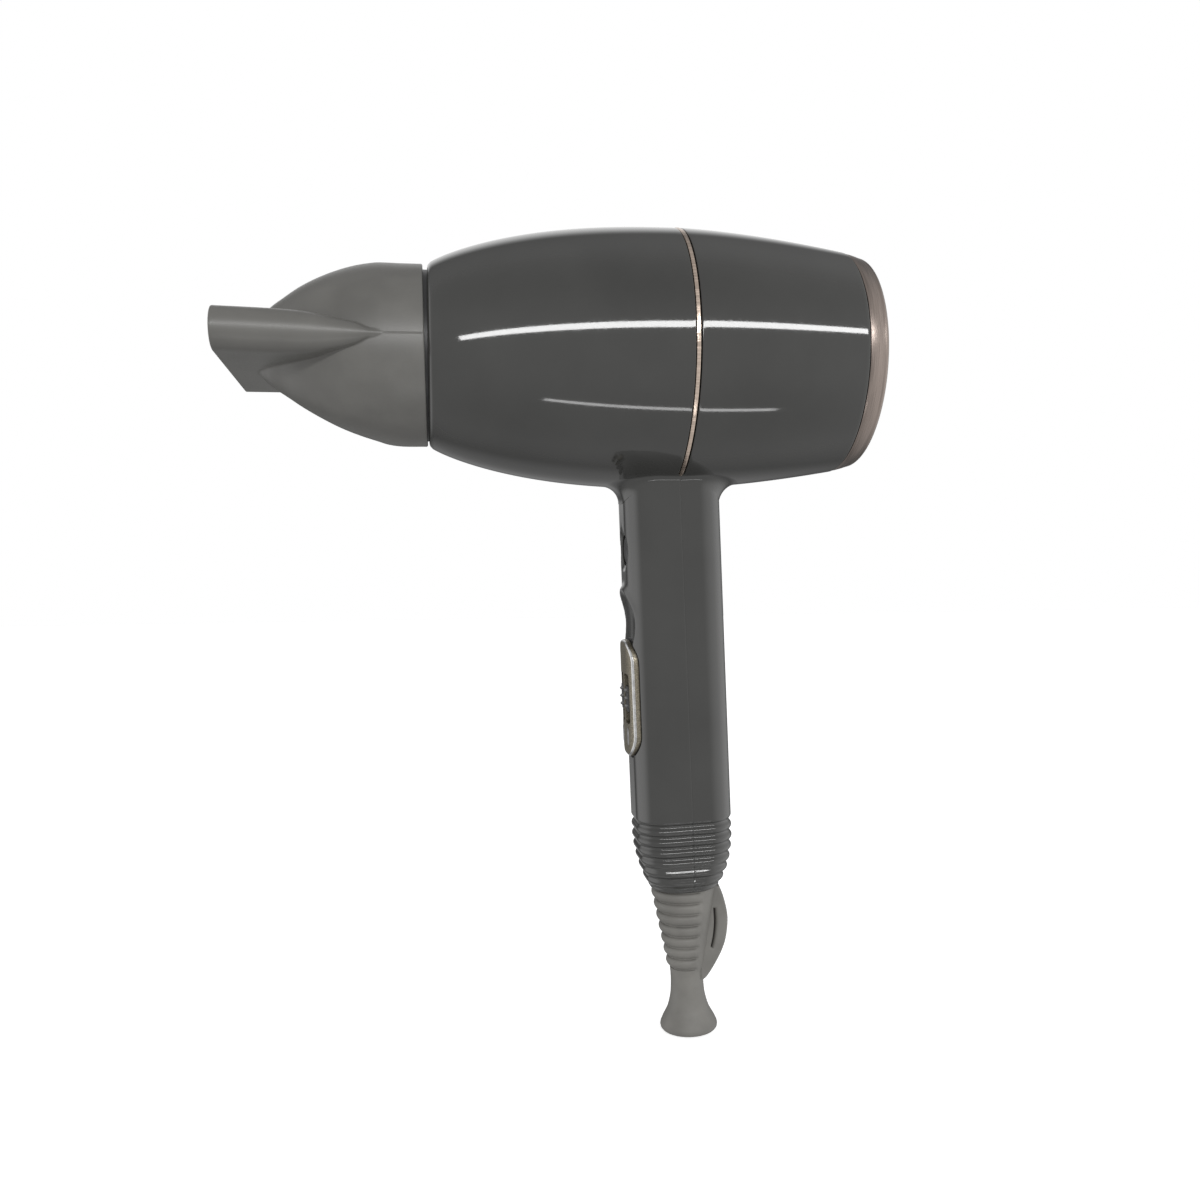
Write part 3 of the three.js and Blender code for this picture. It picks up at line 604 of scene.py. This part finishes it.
def handle_half(rings, side):
    """One moulded half of the handle, front (-1) or rear (1): a skin with a wall inside it."""
    rows = []
    for ring in rings:
        seam, (one, other) = seam_paths(ring, side)
        outer = np.vstack([one[::-1], other[1:]])
        middle = ring.mean(axis=0)
        inner = middle + (outer - middle) * (HANDLE_INNER_SHARE, HANDLE_INNER_SHARE, 1.0)
        inner[[0, -1], 0] = seam
        rows.append(np.vstack([outer, inner[::-1]]))
    columns = len(rows[0])
    faces = grid_faces(len(rows), columns)
    last = (len(rows) - 1) * columns
    cap = [(j, j + 1, columns - 2 - j, columns - 1 - j) for j in range(columns // 2 - 1)]
    faces += cap + [tuple(last + i for i in f) for f in cap]
    return np.vstack(rows), faces


def plate_outline(margin, count=96):
    """The switch plate's outline in (y, z), grown or shrunk by a margin."""
    sizes = (PLATE_HALF_HEIGHT + margin, PLATE_HALF_WIDTH + margin, PLATE_CORNER + margin)
    return [(y, PLATE_Z + z) for z, y, _, _ in section(*sizes, count)]


def front_openings(handle_front):
    """Cuts the holes for the switch plate and the cool-shot button."""
    cut(handle_front, in_handle(prism(plate_outline(PLATE_CLEARANCE), -26, -12)))
    ring = [(y, BUTTON_Z + z) for y, z in arc((0, 0), BUTTON_HOLE_R, 0, 360, 48)[:-1]]
    cut(handle_front, in_handle(prism(ring, -24, -12)))


# ------------------------------------------------------------------ nozzle
COLLAR_STOP, COLLAR_BORE = -103.9, 30.4
# The dome as (x, radius, rise) and the slot as (x, half width, half height, rise).
DOME = (
    (NOZZLE_BACK, 32, 0), (-98, 32, 0), (-103, 31.75, 0.35), (-107, 31.1, 0.9), (-113.5, 29.5, 1.4),
    (-120, 27.25, 1.75), (-126.5, 24.3, 2.1), (-132.5, 21, 2.3), (-138, 17.3, 2.3),
    (-143.5, 13.3, 2.1), (-147.5, 8.5, 1.6), (-149.5, 0, 1.2),
)
SLOT = (
    (-102, 31, 0.01, 0.1), (-104, 31.4, 0.5, 0.1), (-108.5, 32.2, 2.0, 0.1), (-112, 32.9, 3.6, 0.1),
    (-120, 34.3, 5.4, 0.1), (-127, 35.5, 6.8, 0.1), (-135, 36.5, 7.3, 0.2), (-146, 37.3, 7.35, 0.35),
    (MOUTH_X, 38, 7.3, 0.5),
)


def smooth_curve(points, count=240):
    """A Catmull-Rom curve through a few points, sampled evenly in its parameter."""
    p = np.array(points, float)
    p = np.vstack([2 * p[0] - p[1], p, 2 * p[-1] - p[-2]])
    out = []
    for t in np.linspace(0, len(points) - 1, count):
        i = min(int(t), len(points) - 2)
        f = t - i
        a, b, c, d = p[i : i + 4]
        bend = (2 * a - 5 * b + 4 * c - d) * f**2 + (3 * b - a - 3 * c + d) * f**3
        out.append(0.5 * (2 * b + (c - a) * f + bend))
    return np.array(out)


DOME_CURVE = smooth_curve(DOME)
SLOT_CURVE = smooth_curve(SLOT)


def at_station(curve, x):
    """The values of a curve whose first column is a falling x."""
    return [np.interp(-x, -curve[:, 0], column) for column in curve[:, 1:].T]


def smooth_max(a, b, blend=0.9):
    h = np.maximum(blend - np.abs(a - b), 0) / blend
    return np.maximum(a, b) + h * h * blend / 4


def stadium_radius(angles, half_width, half_height):
    """Distance from the centre to a stadium's edge at each angle, angle 0 along its length."""
    c, s = np.abs(np.cos(angles)), np.abs(np.sin(angles))
    straight = half_width - half_height
    flat = half_height / np.maximum(s, 1e-9)
    inside = half_height**2 - (straight * s) ** 2
    round_end = straight * c + np.sqrt(np.maximum(inside, 0))
    return np.where(flat * c <= straight, flat, round_end)


def circle_radius(angles, radius, below):
    """Distance to a circle's edge from a point that lies below its centre."""
    inside = radius**2 - (below * np.cos(angles)) ** 2
    return np.where(inside > 0, below * np.sin(angles) + np.sqrt(np.maximum(inside, 0)), 0.01)


def parting_line(angles, radius, x):
    """The faint groove where the mould halves met, along both sides of the dome."""
    if x < -103.5:
        return 0.0
    offset = np.minimum(np.abs(angles), np.abs(np.abs(angles - math.pi))) * radius
    return 0.13 * np.exp(-((offset / 0.22) ** 2))


def nozzle_rings(stations, inset, angles, slant=0.0):
    rings = []
    for x in stations:
        radius, lift = at_station(DOME_CURVE, x)
        width, height, rise = at_station(SLOT_CURVE, x)
        radii = circle_radius(angles, max(radius - inset, 0), lift - rise)
        if inset == 0:
            radii = radii - parting_line(angles, radius, x)
        if height - inset > 0.2:
            duct = stadium_radius(angles, width - inset, height - inset)
            radii = smooth_max(radii, duct)
        up = np.sin(angles)
        rings.append(np.array([x - slant * up, radii * np.cos(angles), rise + radii * up]).T)
    return rings


def nozzle_shell():
    """Dome and slot blended into one moulding with a wall, a mouth and a socket for the collar."""
    count = 360
    turn = np.linspace(0, 2 * math.pi, count, endpoint=False)
    angles = turn - 0.42 * np.sin(2 * turn)
    outside = np.r_[
        np.linspace(-90.7, -107, 16), np.linspace(-107.5, -150, 120), np.linspace(-151, -157.1, 8)
    ]
    inside = np.r_[np.linspace(MOUTH_X + 0.5, -150, 8), np.linspace(-149, -105, 50)]
    rings = nozzle_rings([NOZZLE_BACK], 0.35, angles, NOZZLE_SLANT)
    rings += nozzle_rings([NOZZLE_BACK - 0.35], 0, angles, NOZZLE_SLANT)
    rings += nozzle_rings(outside, 0, angles)
    rings += nozzle_rings([MOUTH_X + 0.12], 0.12, angles) + nozzle_rings([MOUTH_X], 0.4, angles)
    rings += nozzle_rings([MOUTH_X], NOZZLE_WALL - 0.3, angles)
    rings += nozzle_rings(inside, NOZZLE_WALL, angles)
    socket = (
        (COLLAR_STOP, 30.6, 0), (COLLAR_STOP, COLLAR_BORE, 0), (NOZZLE_BACK, COLLAR_BORE, NOZZLE_SLANT),
    )
    for x, r, slant in socket:
        up = np.sin(angles)
        rings.append(np.array([x - slant * up, r * np.cos(angles), r * up]).T)
    points = np.array(rings).reshape(-1, 3)
    c, s = math.cos(NOZZLE_TURN), math.sin(NOZZLE_TURN)
    points = points @ np.array([[1, 0, 0], [0, c, s], [0, -s, c]])
    return points, grid_faces(len(rings), count, close_rows=True)


# ------------------------------------------------------------------ small turned pieces
def collar():
    x0, x1 = low("nozzle_collar", 0), high("nozzle_collar", 0)
    return turned(rounded([(x0, 27.8), (x0, 30.1), (x1, 30.1), (x1, 27.8)], 0.4))


RING_PROUD, RING_OPEN_HALF = 0.12, 17.6


def trim_ring():
    """A thin proud band whose two ends tuck into the top of the handle."""
    outer = RING_R + RING_PROUD
    profile = [
        (-0.93, outer - 3), (-0.93, outer - 0.35), (-0.75, outer - 0.08), (-0.45, outer),
        (0.15, outer), (0.45, outer - 0.1), (0.6, outer - 0.35), (0.6, outer - 3),
    ]
    open_half = math.asin(RING_OPEN_HALF / outer)
    angles = np.linspace(-math.pi / 2 + open_half, 1.5 * math.pi - open_half, 260)
    points = [(x, r * math.cos(a), r * math.sin(a)) for a in angles for x, r in profile]
    faces = grid_faces(len(angles), len(profile))
    last = (len(angles) - 1) * len(profile)
    ends = [tuple(range(len(profile)))[::-1], tuple(last + i for i in range(len(profile)))]
    return np.array(points), faces + ends


BEZEL_START, BEZEL_LENGTH, BEZEL_R, BEZEL_NARROWING, BEZEL_ROUND = 61.9, 5.8, 40.2, 1.5, 1.8
SPIGOT_START, SPIGOT_R, SPIGOT_BORE = 55, 37.4, 35.8
GRILLE_SEAT, GRILLE_HOLE_R = 63.4, 33.4


def bezel_radius(x):
    return BEZEL_R - BEZEL_NARROWING * ((x - BEZEL_START) / BEZEL_LENGTH) ** 1.4


def rear_bezel():
    """The rear cover's rim: a snap spigot, a brushed flank and a rounded face."""
    face = high("rear_bezel", 0)
    outline = [(SPIGOT_START, SPIGOT_BORE), (SPIGOT_START, SPIGOT_R)]
    outline += [(BEZEL_START, SPIGOT_R), (BEZEL_START, 40.15)]
    outline += [(x, bezel_radius(x)) for x in np.linspace(63, face - BEZEL_ROUND, 6)]
    outline += arc((face - BEZEL_ROUND, 36.9), BEZEL_ROUND, 90, 0, 8)[1:]
    outline += [(face - 0.5, GRILLE_HOLE_R), (GRILLE_SEAT, GRILLE_HOLE_R)]
    outline.append((GRILLE_SEAT, SPIGOT_BORE))
    return turned(rounded(outline, 0.35, 3, 40))


def ring_of(x0, x1, inner, outer):
    return turned(rounded([(x0, inner), (x1, inner), (x1, outer), (x0, outer)], 0.35), 120)


def spoke(x0, x1, half, start, end, angle):
    """A rounded bar from one radius out to another."""
    outline = rounded([(x0, -half), (x1, -half), (x1, half), (x0, half)], 0.35)
    count = len(outline)
    c, s = math.cos(math.radians(angle)), math.sin(math.radians(angle))
    points = [(x, y * c - r * s, y * s + r * c) for r in (start, end) for x, y in outline]
    caps = [tuple(range(count))[::-1], tuple(range(count, 2 * count))]
    return np.array(points), grid_faces(2, count) + caps


def grille(x0, x1, radii, width, hub, hub_x1, reach):
    """Rings, six spokes and a hub with a rounded face."""
    parts = [ring_of(x0, x1, r - width, r) for r in radii]
    parts += [spoke(x0 + 0.2, x1 - 0.2, width / 2, hub - 1, reach, a) for a in range(0, 360, 60)]
    face = rounded([(x0, 0.01), (hub_x1, 0.01), (hub_x1, hub), (x0, hub)], 0.5)
    return joined(*parts, turned(face, 96))


# ------------------------------------------------------------------ controls in the handle
def front_face(y, out):
    """X of the handle's front, moved outwards, at a distance across it."""
    corner = CORNER_R + out
    across = max(0.0, abs(y) - (SIDE_HALF - CORNER_R))
    return -(HANDLE_HALF - CORNER_R + math.sqrt(max(corner**2 - across**2, 0)))


def plate_rings(levels, count=120):
    """Rings of the plate's outline, each at an inset and a height above the handle's front.
    A height of None is the plate's flat underside."""
    rings = []
    for inset, out in levels:
        ring = []
        for y, z in plate_outline(-inset, count):
            ring.append((PLATE_UNDERSIDE if out is None else front_face(y, out), y, z))
        rings.append(ring)
    return np.array(rings)


def plate_body():
    """A crowned plate wrapped round the handle's front; its sides are undercut below the surface."""
    levels = [(0.9, None), (0.9, -0.5), (0.05, -0.5), (0, -0.35)]
    levels += [(0, 0.8), (0.15, 1.1), (0.6, 1.4), (1.1, 1.55)]
    levels += [(inset, PLATE_PROUD) for inset in (2.2, 4.5, 6.5, 8)]
    rings = plate_rings(levels)
    count = rings.shape[1]
    last = (len(rings) - 1) * count
    caps = [tuple(range(count))[::-1], tuple(range(last, last + count))]
    return rings.reshape(-1, 3), grid_faces(len(rings), count) + caps


def plate_band(levels):
    """A closed band round the plate's outline."""
    rings = plate_rings(levels)
    return rings.reshape(-1, 3), grid_faces(len(rings), rings.shape[1], close_rows=True)


# A bright steel band laid over the plate's rounded edge: painted highlight along the edge.
PAINTED_HIGHLIGHT_LEVELS = ((0.02, 1.0), (0.12, 1.18), (0.5, 1.47), (0.72, 1.52), (0.72, 1.3), (0.1, 0.95))
BAR_DROP = 14
# A dark band sunk below the surface in the gap round the plate: painted shade in the gap.
GAP_SHADE_LEVELS = ((-0.8, -0.9), (-0.8, -1.6), (0.85, -1.6), (0.85, -0.9))


def window(side):
    """The outline of one slider's window: half length, half width, corner and points."""
    sizes = (9.2, 3.3, 1.2, 40)
    return [(side * SLIDER_Y + y, PLATE_Z + z) for z, y, _, _ in section(*sizes)]


def plate_trim(name, mesh, slot):
    """A small extra piece on the switch plate in another slot's material: the rim's bright colour is
    painted highlight and the dark band in the gap is painted shade.
    """
    trim = piece(name, *in_handle(mesh), "switch_plate")
    trim.data.materials[0] = MATERIALS[slot]
    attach(trim, "housing")


def make_plate():
    """The plate with its two windows, a bright rim that is painted highlight, a dark band of painted
    shade in the gap round it, and its pale bars.
    """
    plate = piece("plate", *in_handle(plate_body()), "switch_plate")
    for side in (-1, 1):
        cut(plate, in_handle(prism(window(side), -26, -10)))
    dress(plate, "switch_plate")
    # painted highlight: a bright steel band over the plate's rounded edge
    plate_trim("plate_highlight_rim", plate_band(PAINTED_HIGHLIGHT_LEVELS), "steel")
    # painted shade: a dark band sunk in the gap round the plate
    plate_trim("plate_gap_shade", plate_band(GAP_SHADE_LEVELS), "inner_plastic")
    # A pale steel bar below each window.
    for side, name in ((-1, "left"), (1, "right")):
        corners = section(3.1, 1.2, 0.5, 24)
        outline = [(y + side * SLIDER_Y, PLATE_Z - BAR_DROP + z) for z, y, _, _ in corners]
        bar = prism(outline, PLATE_FACE - 0.12, PLATE_FACE + 0.5)
        plate_trim(f"pale_bar_{name}", bar, "filter_steel")


KNOB_HALF_WIDTH, KNOB_HALF_LENGTH, KNOB_UNDERSIDE = 2.8, 4.6, -13.4
RIDGE_PITCH, RIDGE_HEIGHT = 2.9, 0.75


def knob_height(y, z):
    """A slider knob's ridged and rounded face, outwards from its root."""
    ridges = RIDGE_HEIGHT * max(0.0, math.cos(2 * math.pi * z / RIDGE_PITCH)) ** 1.5
    edge = (abs(y) / KNOB_HALF_WIDTH) ** 6 + (abs(z) / KNOB_HALF_LENGTH) ** 8
    return (ridges + 0.15) * math.sqrt(max(0.0, 1 - min(1, edge))) - 0.2


def slider_knob(side):
    """A ridged thumb knob standing out of its window, and the skirt that keeps dust out."""
    ys = side * SLIDER_Y + np.linspace(-KNOB_HALF_WIDTH, KNOB_HALF_WIDTH, 17)
    zs = np.linspace(-KNOB_HALF_LENGTH, KNOB_HALF_LENGTH, 81)
    top = [
        (PLATE_FACE - knob_height(y - side * SLIDER_Y, z), y, PLATE_Z + z) for z in zs for y in ys
    ]
    under = [(KNOB_UNDERSIDE, y, z) for _, y, z in top]
    rows, columns = len(zs), len(ys)
    face = grid_faces(rows, columns, close_columns=False)
    count = rows * columns
    border = list(range(columns)) + [r * columns + columns - 1 for r in range(1, rows)]
    border += list(range(count - 2, count - columns - 1, -1))
    border += [r * columns for r in range(rows - 2, 0, -1)]
    walls = [(a, b, b + count, a + count) for a, b in zip(border, border[1:] + border[:1])]
    knob = np.array(top + under), face + [tuple(i + count for i in f) for f in face] + walls
    outline = [(side * SLIDER_Y + y, PLATE_Z + z) for z, y, _, _ in section(13.6, 4.2, 1, 32)]
    return joined(knob, prism(outline, -14.3, -13.2))


def button_cap():
    """The cool-shot button: a slightly dished face, a flange behind the wall and a stem."""
    face = 1.1 - HANDLE_HALF
    outline = [(face + 0.35, 0.01), (face + 0.1, 2.5), (face, 4.2)]
    outline += [(face + 0.15, 4.8), (face + 0.7, 5.2), (-14.6, 5.2), (-14.6, 6.6)]
    outline += [(-13.6, 6.6), (-13.6, 2.2), (-10.6, 2.2), (-10.6, 0.01)]
    points, faces = turned(rounded(outline, 0.25, 3, 30), 72)
    return points + (0, 0, BUTTON_Z), faces


def make_controls():
    """The switch plate, its two sliders and the cool-shot button."""
    make_plate()
    for name, side in (("speed", -1), ("heat", 1)):
        node = f"{name}_slider"
        dress(piece(f"{name}_knob", *in_handle(slider_knob(side)), node), node)
    dress(piece("cool_button", *in_handle(button_cap()), "cool_shot_button"), "cool_shot_button")


# ------------------------------------------------------------------ cord guard
GUARD_TOP = HANDLE_FOOT - 0.3
RIB_START, GUARD_PITCH, GUARD_RIBS = GUARD_TOP - 0.4, 4.37, 7
RIB_END = RIB_START - GUARD_RIBS * GUARD_PITCH
SLEEVE_TOP_R, SLEEVE_TAPER, BEAD_HEIGHT, BEAD_SHARE = 11.2, 0.172, 1.25, 0.86
NECK_R, FLANGE_TOP, NECK_TOP = 9.4, -184.5, -190.5
# The smooth stretch behind, where the loop joins: angles in degrees, and how proud it stands.
PLAIN_HALF_ANGLE, PLAIN_FADE, PLAIN_HEIGHT = 62, 12, 0.75
BELL = (
    (RIB_END, 6.3), (-230, 6.15), (-234, 6.2), (-238, 6.6), (-242.5, 7.8), (-246, 9.6),
    (-248.2, 10.6),
)


def sleeve_radius(z):
    """The sleeve's smooth radius, without its ribs."""
    if z > RIB_END:
        return SLEEVE_TOP_R - (RIB_START - z) * SLEEVE_TAPER
    return float(np.interp(-z, *BELL_TABLE))


def rib_height(z):
    """Each rib is a rounded bead that is fullest just above its lower edge."""
    place = (RIB_START - z) / GUARD_PITCH
    if not 0 <= place < GUARD_RIBS:
        return 0.0
    phase = place % 1.0
    swell = math.sin(math.pi * phase / BEAD_SHARE) ** 0.55 if phase < BEAD_SHARE else 0.0
    return BEAD_HEIGHT * swell


def round_ring(radius, z, angles):
    return [(radius * math.cos(a), radius * math.sin(a), z) for a in angles]


def guard_sleeve():
    """A sleeve ribbed round its front and sides and smooth behind, with a bell mouth."""
    count = 160
    angles = np.linspace(0, 2 * math.pi, count, endpoint=False)
    behind = np.degrees(np.arccos(np.clip(np.cos(angles), -1, 1)))
    ribbed = np.clip((behind - PLAIN_HALF_ANGLE) / PLAIN_FADE, 0, 1)
    plain = PLAIN_HEIGHT * (1 - ribbed)
    zs = np.r_[np.linspace(GUARD_TOP, -228.5, 330), np.linspace(-229, -248.2, 60)]
    rings = [round_ring(NECK_R, NECK_TOP, angles), round_ring(NECK_R, GUARD_TOP, angles)]
    for z in zs:
        fade = 1.0 if z > RIB_END else 0.0
        radii = sleeve_radius(z) + (rib_height(z) * ribbed + plain) * fade
        rings.append(np.array([radii * np.cos(angles), radii * np.sin(angles), np.full(count, z)]).T)
    lip = [(10.75, -249.0), (10.6, -249.8), (10.1, -250.4), (8.4, -250.4)]
    bore = [(7.8, -249.6), (5.2, -246), (GUARD_BORE, -240), (GUARD_BORE, FLANGE_TOP)]
    for r, z in lip + bore + [(11.5, FLANGE_TOP), (12.2, -189.7)]:
        rings.append(round_ring(r, z, angles))
    return np.array(rings).reshape(-1, 3), grid_faces(len(rings), count, close_rows=True)


BELL_CURVE = smooth_curve(BELL, 80)
BELL_TABLE = (-BELL_CURVE[:, 0], BELL_CURVE[:, 1])

STRAP_HALF_WIDTH, STRAP_EDGE = 4.5, 1.1
STRAP_ROOT = (4, -196.3)
STRAP_BACK = (
    (12.9, -196.3), (14.4, -200.6), (15.6, -206.3), (15.7, -211.2), (14.4, -218), (11.6, -223.9),
    (7.2, -230.3), (4, -232.6),
)
SLIT_INNER = ((10.45, -205), (10.55, -210), (9.95, -215), (8.9, -219.5))
SLIT_OUTER = ((9.4, -219.7), (10.55, -215.1), (11.1, -210), (11.0, -205))


def spline(curve, points):
    """A closed loop of points added to a curve."""
    loop = curve.splines.new("POLY")
    loop.points.add(len(points) - 1)
    for point, (x, z) in zip(loop.points, points):
        point.co = (x, z, 0, 1)
    loop.use_cyclic_u = True


def strap():
    """A thick strap with rounded edges and a slit between it and the sleeve."""
    curve = bpy.data.curves.new("strap", "CURVE")
    curve.dimensions = "2D"
    curve.fill_mode = "BOTH"
    curve.extrude = STRAP_HALF_WIDTH - STRAP_EDGE
    curve.bevel_depth = STRAP_EDGE
    curve.bevel_resolution = 5
    curve.offset = -STRAP_EDGE
    spline(curve, [STRAP_ROOT] + smooth_curve(STRAP_BACK, 60).tolist())
    spline(curve, smooth_curve(SLIT_INNER, 24).tolist() + smooth_curve(SLIT_OUTER, 24).tolist())
    shape = bpy.data.objects.new("strap", curve)
    bpy.context.scene.collection.objects.link(shape)
    bpy.context.view_layer.update()
    mesh = bpy.data.meshes.new_from_object(shape)
    points = [(v.co.x, v.co.z, v.co.y) for v in mesh.vertices]
    faces = [tuple(f.vertices) for f in mesh.polygons]
    bpy.data.objects.remove(shape)
    return np.array(points), faces


def make_guard():
    sleeve = piece("guard_sleeve", *in_handle(guard_sleeve()), "cord_guard", 50)
    dress(sleeve, "cord_guard")
    loop = piece("guard_strap", *in_handle(strap()), "cord_guard", 50)
    dress(loop, "cord_guard")


# ------------------------------------------------------------------ build
def make_casings():
    rings = handle_outside()
    for name, barrel, side in (("front", front_barrel(), -1), ("rear", rear_barrel(), 1)):
        node = f"{name}_casing"
        dress(piece(f"{name}_barrel", *barrel, node), node)
        half = dress(piece(f"{name}_handle", *handle_half(rings, side), node), node)
        if side < 0:
            front_openings(half)


def make_nozzle():
    dress(piece("nozzle", *nozzle_shell(), "nozzle_shell", 50), "nozzle_shell")
    dress(piece("collar", *collar(), "nozzle_collar"), "nozzle_collar")


def make_trim():
    dress(piece("ring_band", *trim_ring(), "trim_ring"), "trim_ring")
    dress(piece("bezel", *rear_bezel(), "rear_bezel"), "rear_bezel")


def make_grilles():
    rear = grille(64.2, 68, (33.1, 25, 17), 1.7, 9, 69, 32.5)
    dress(piece("rear_guard", *rear, "rear_grille"), "rear_grille")
    outlet = grille(-76.5, -73.5, (30.1, 18), 1.6, 5, -73.5, 29)
    dress(piece("outlet_guard", *outlet, "outlet_grille"), "outlet_grille")


def finish_cad_nodes():
    """Every CAD node takes its slot's material."""
    for name, obj in frame["nodes"].items():
        obj.data.materials.clear()
        obj.data.materials.append(MATERIALS[SLOT_OF[name]])


make_casings()
make_nozzle()
make_trim()
make_controls()
make_guard()
make_grilles()
finish_cad_nodes()


# ------------------------------------------------------------------ floor and light
FLOOR_HALF, FLOOR_GAP = 3.0, 0.0005  # metres


def make_floor():
    """A pale floor that only the camera sees, bright enough to run into the backdrop."""
    mesh = bpy.data.meshes.new("floor")
    half, z = FLOOR_HALF, CAD_BOX[0][2] - FLOOR_GAP
    corners = [(-half, -half, z), (half, -half, z), (half, half, z), (-half, half, z)]
    mesh.from_pydata(corners, [], [(0, 1, 2, 3)])
    floor = bpy.data.objects.new("floor", mesh)
    bpy.context.scene.collection.objects.link(floor)
    pale = node_material("floor", (0.8, 0.8, 0.8), 0.9, Emission_Strength=0.6)
    pale.node_tree.nodes["Principled BSDF"].inputs["Emission Color"].default_value = (1, 1, 1, 1)
    mesh.materials.append(pale)
    floor.visible_glossy = False
    floor.visible_diffuse = False
    floor.visible_shadow = False


def area_light(name, place, target, size, radiance, roll=0.0):
    """A rectangle of light, placed in barrel-frame millimetres and rolled by some degrees."""
    data = bpy.data.lights.new(name, "AREA")
    data.shape = "RECTANGLE"
    data.size, data.size_y = (side * MM for side in size)
    data.energy = radiance * math.pi * data.size * data.size_y
    light = bpy.data.objects.new(name, data)
    bpy.context.scene.collection.objects.link(light)
    light.location = (Vector(place) - Vector((ORIGIN_X, 0, 0))) * MM
    light.rotation_mode = "QUATERNION"
    facing = (Vector(target) - Vector(place)).to_track_quat("-Z", "Y")
    light.rotation_quaternion = facing @ Quaternion((0, 0, 1), math.radians(roll))
    light.visible_camera = False


def make_lights():
    area_light("strip_upper", (60, -1400, 495), (0, 0, 0), (2600, 135), 16.5, 8)
    area_light("strip_lower", (300, -1400, -1690), (0, 0, 0), (1700, 90), 6)


FRONT_LIGHT, BACK_LIGHT = 0.78, 0.12
TOP_SHARE, BOTTOM_SHARE = 0.68, 0.85
FULL_GLOW = 0.98
# Soft patches of light: where each lies, the cosine at which it starts, and its brightness.
GLOWS = (
    ((-0.94, 0.34, 0), 0.7, 0.9),
    ((1, 0, 0), 0.5, 0.6),
    ((0, 0.9, 0.43), 0.86, 0.9),
    ((0, 0.85, -0.53), 0.86, 0.25),
)


def smooth_range(tree, value, start, end, first, last):
    """Takes a range of a value smoothly to another range."""
    node = tree.nodes.new("ShaderNodeMapRange")
    node.interpolation_type = "SMOOTHSTEP"
    node.inputs["From Min"].default_value = start
    node.inputs["From Max"].default_value = end
    node.inputs["To Min"].default_value = first
    node.inputs["To Max"].default_value = last
    tree.links.new(value, node.inputs["Value"])
    return node.outputs["Result"]


def combine(tree, operation, one, other):
    node = tree.nodes.new("ShaderNodeMath")
    node.operation = operation
    tree.links.new(one, node.inputs[0])
    tree.links.new(other, node.inputs[1])
    return node.outputs["Value"]


def glow(tree, direction, towards, start, brightness):
    """A soft round patch of light in the surroundings, fullest in one direction."""
    dot = tree.nodes.new("ShaderNodeVectorMath")
    dot.operation = "DOT_PRODUCT"
    dot.inputs[1].default_value = towards
    tree.links.new(direction, dot.inputs[0])
    return smooth_range(tree, dot.outputs["Value"], start, FULL_GLOW, 0.0, brightness)


def make_world():
    """White to the camera. The object reflects a studio that is dim behind, above and below it,
    with soft light to its sides and low and high behind it."""
    world = bpy.data.worlds.new("studio")
    world.use_nodes = True
    tree = world.node_tree
    background = tree.nodes["Background"]
    background.inputs["Color"].default_value = (1, 1, 1, 1)
    direction = tree.nodes.new("ShaderNodeTexCoord").outputs["Generated"]
    axes = tree.nodes.new("ShaderNodeSeparateXYZ")
    tree.links.new(direction, axes.inputs["Vector"])
    total = smooth_range(tree, axes.outputs["Y"], 0.0, 0.9, FRONT_LIGHT, BACK_LIGHT)
    for end, share in ((0.95, TOP_SHARE), (-0.95, BOTTOM_SHARE)):
        dimmed = smooth_range(tree, axes.outputs["Z"], 0.35 * end, end, 1.0, share)
        total = combine(tree, "MULTIPLY", total, dimmed)
    for towards, start, brightness in GLOWS:
        total = combine(tree, "ADD", total, glow(tree, direction, towards, start, brightness))
    path = tree.nodes.new("ShaderNodeLightPath")
    choose = tree.nodes.new("ShaderNodeMix")
    choose.inputs["B"].default_value = 1.0
    tree.links.new(path.outputs["Is Camera Ray"], choose.inputs["Factor"])
    tree.links.new(total, choose.inputs["A"])
    tree.links.new(choose.outputs["Result"], background.inputs["Strength"])
    bpy.context.scene.world = world
    bpy.context.scene.view_settings.view_transform = "Standard"


def shorten_spring():
    """Gives the button's spring a mesh of its own."""
    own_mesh(frame["nodes"]["cool_shot_spring"])


make_floor()
make_lights()
make_world()
shorten_spring()
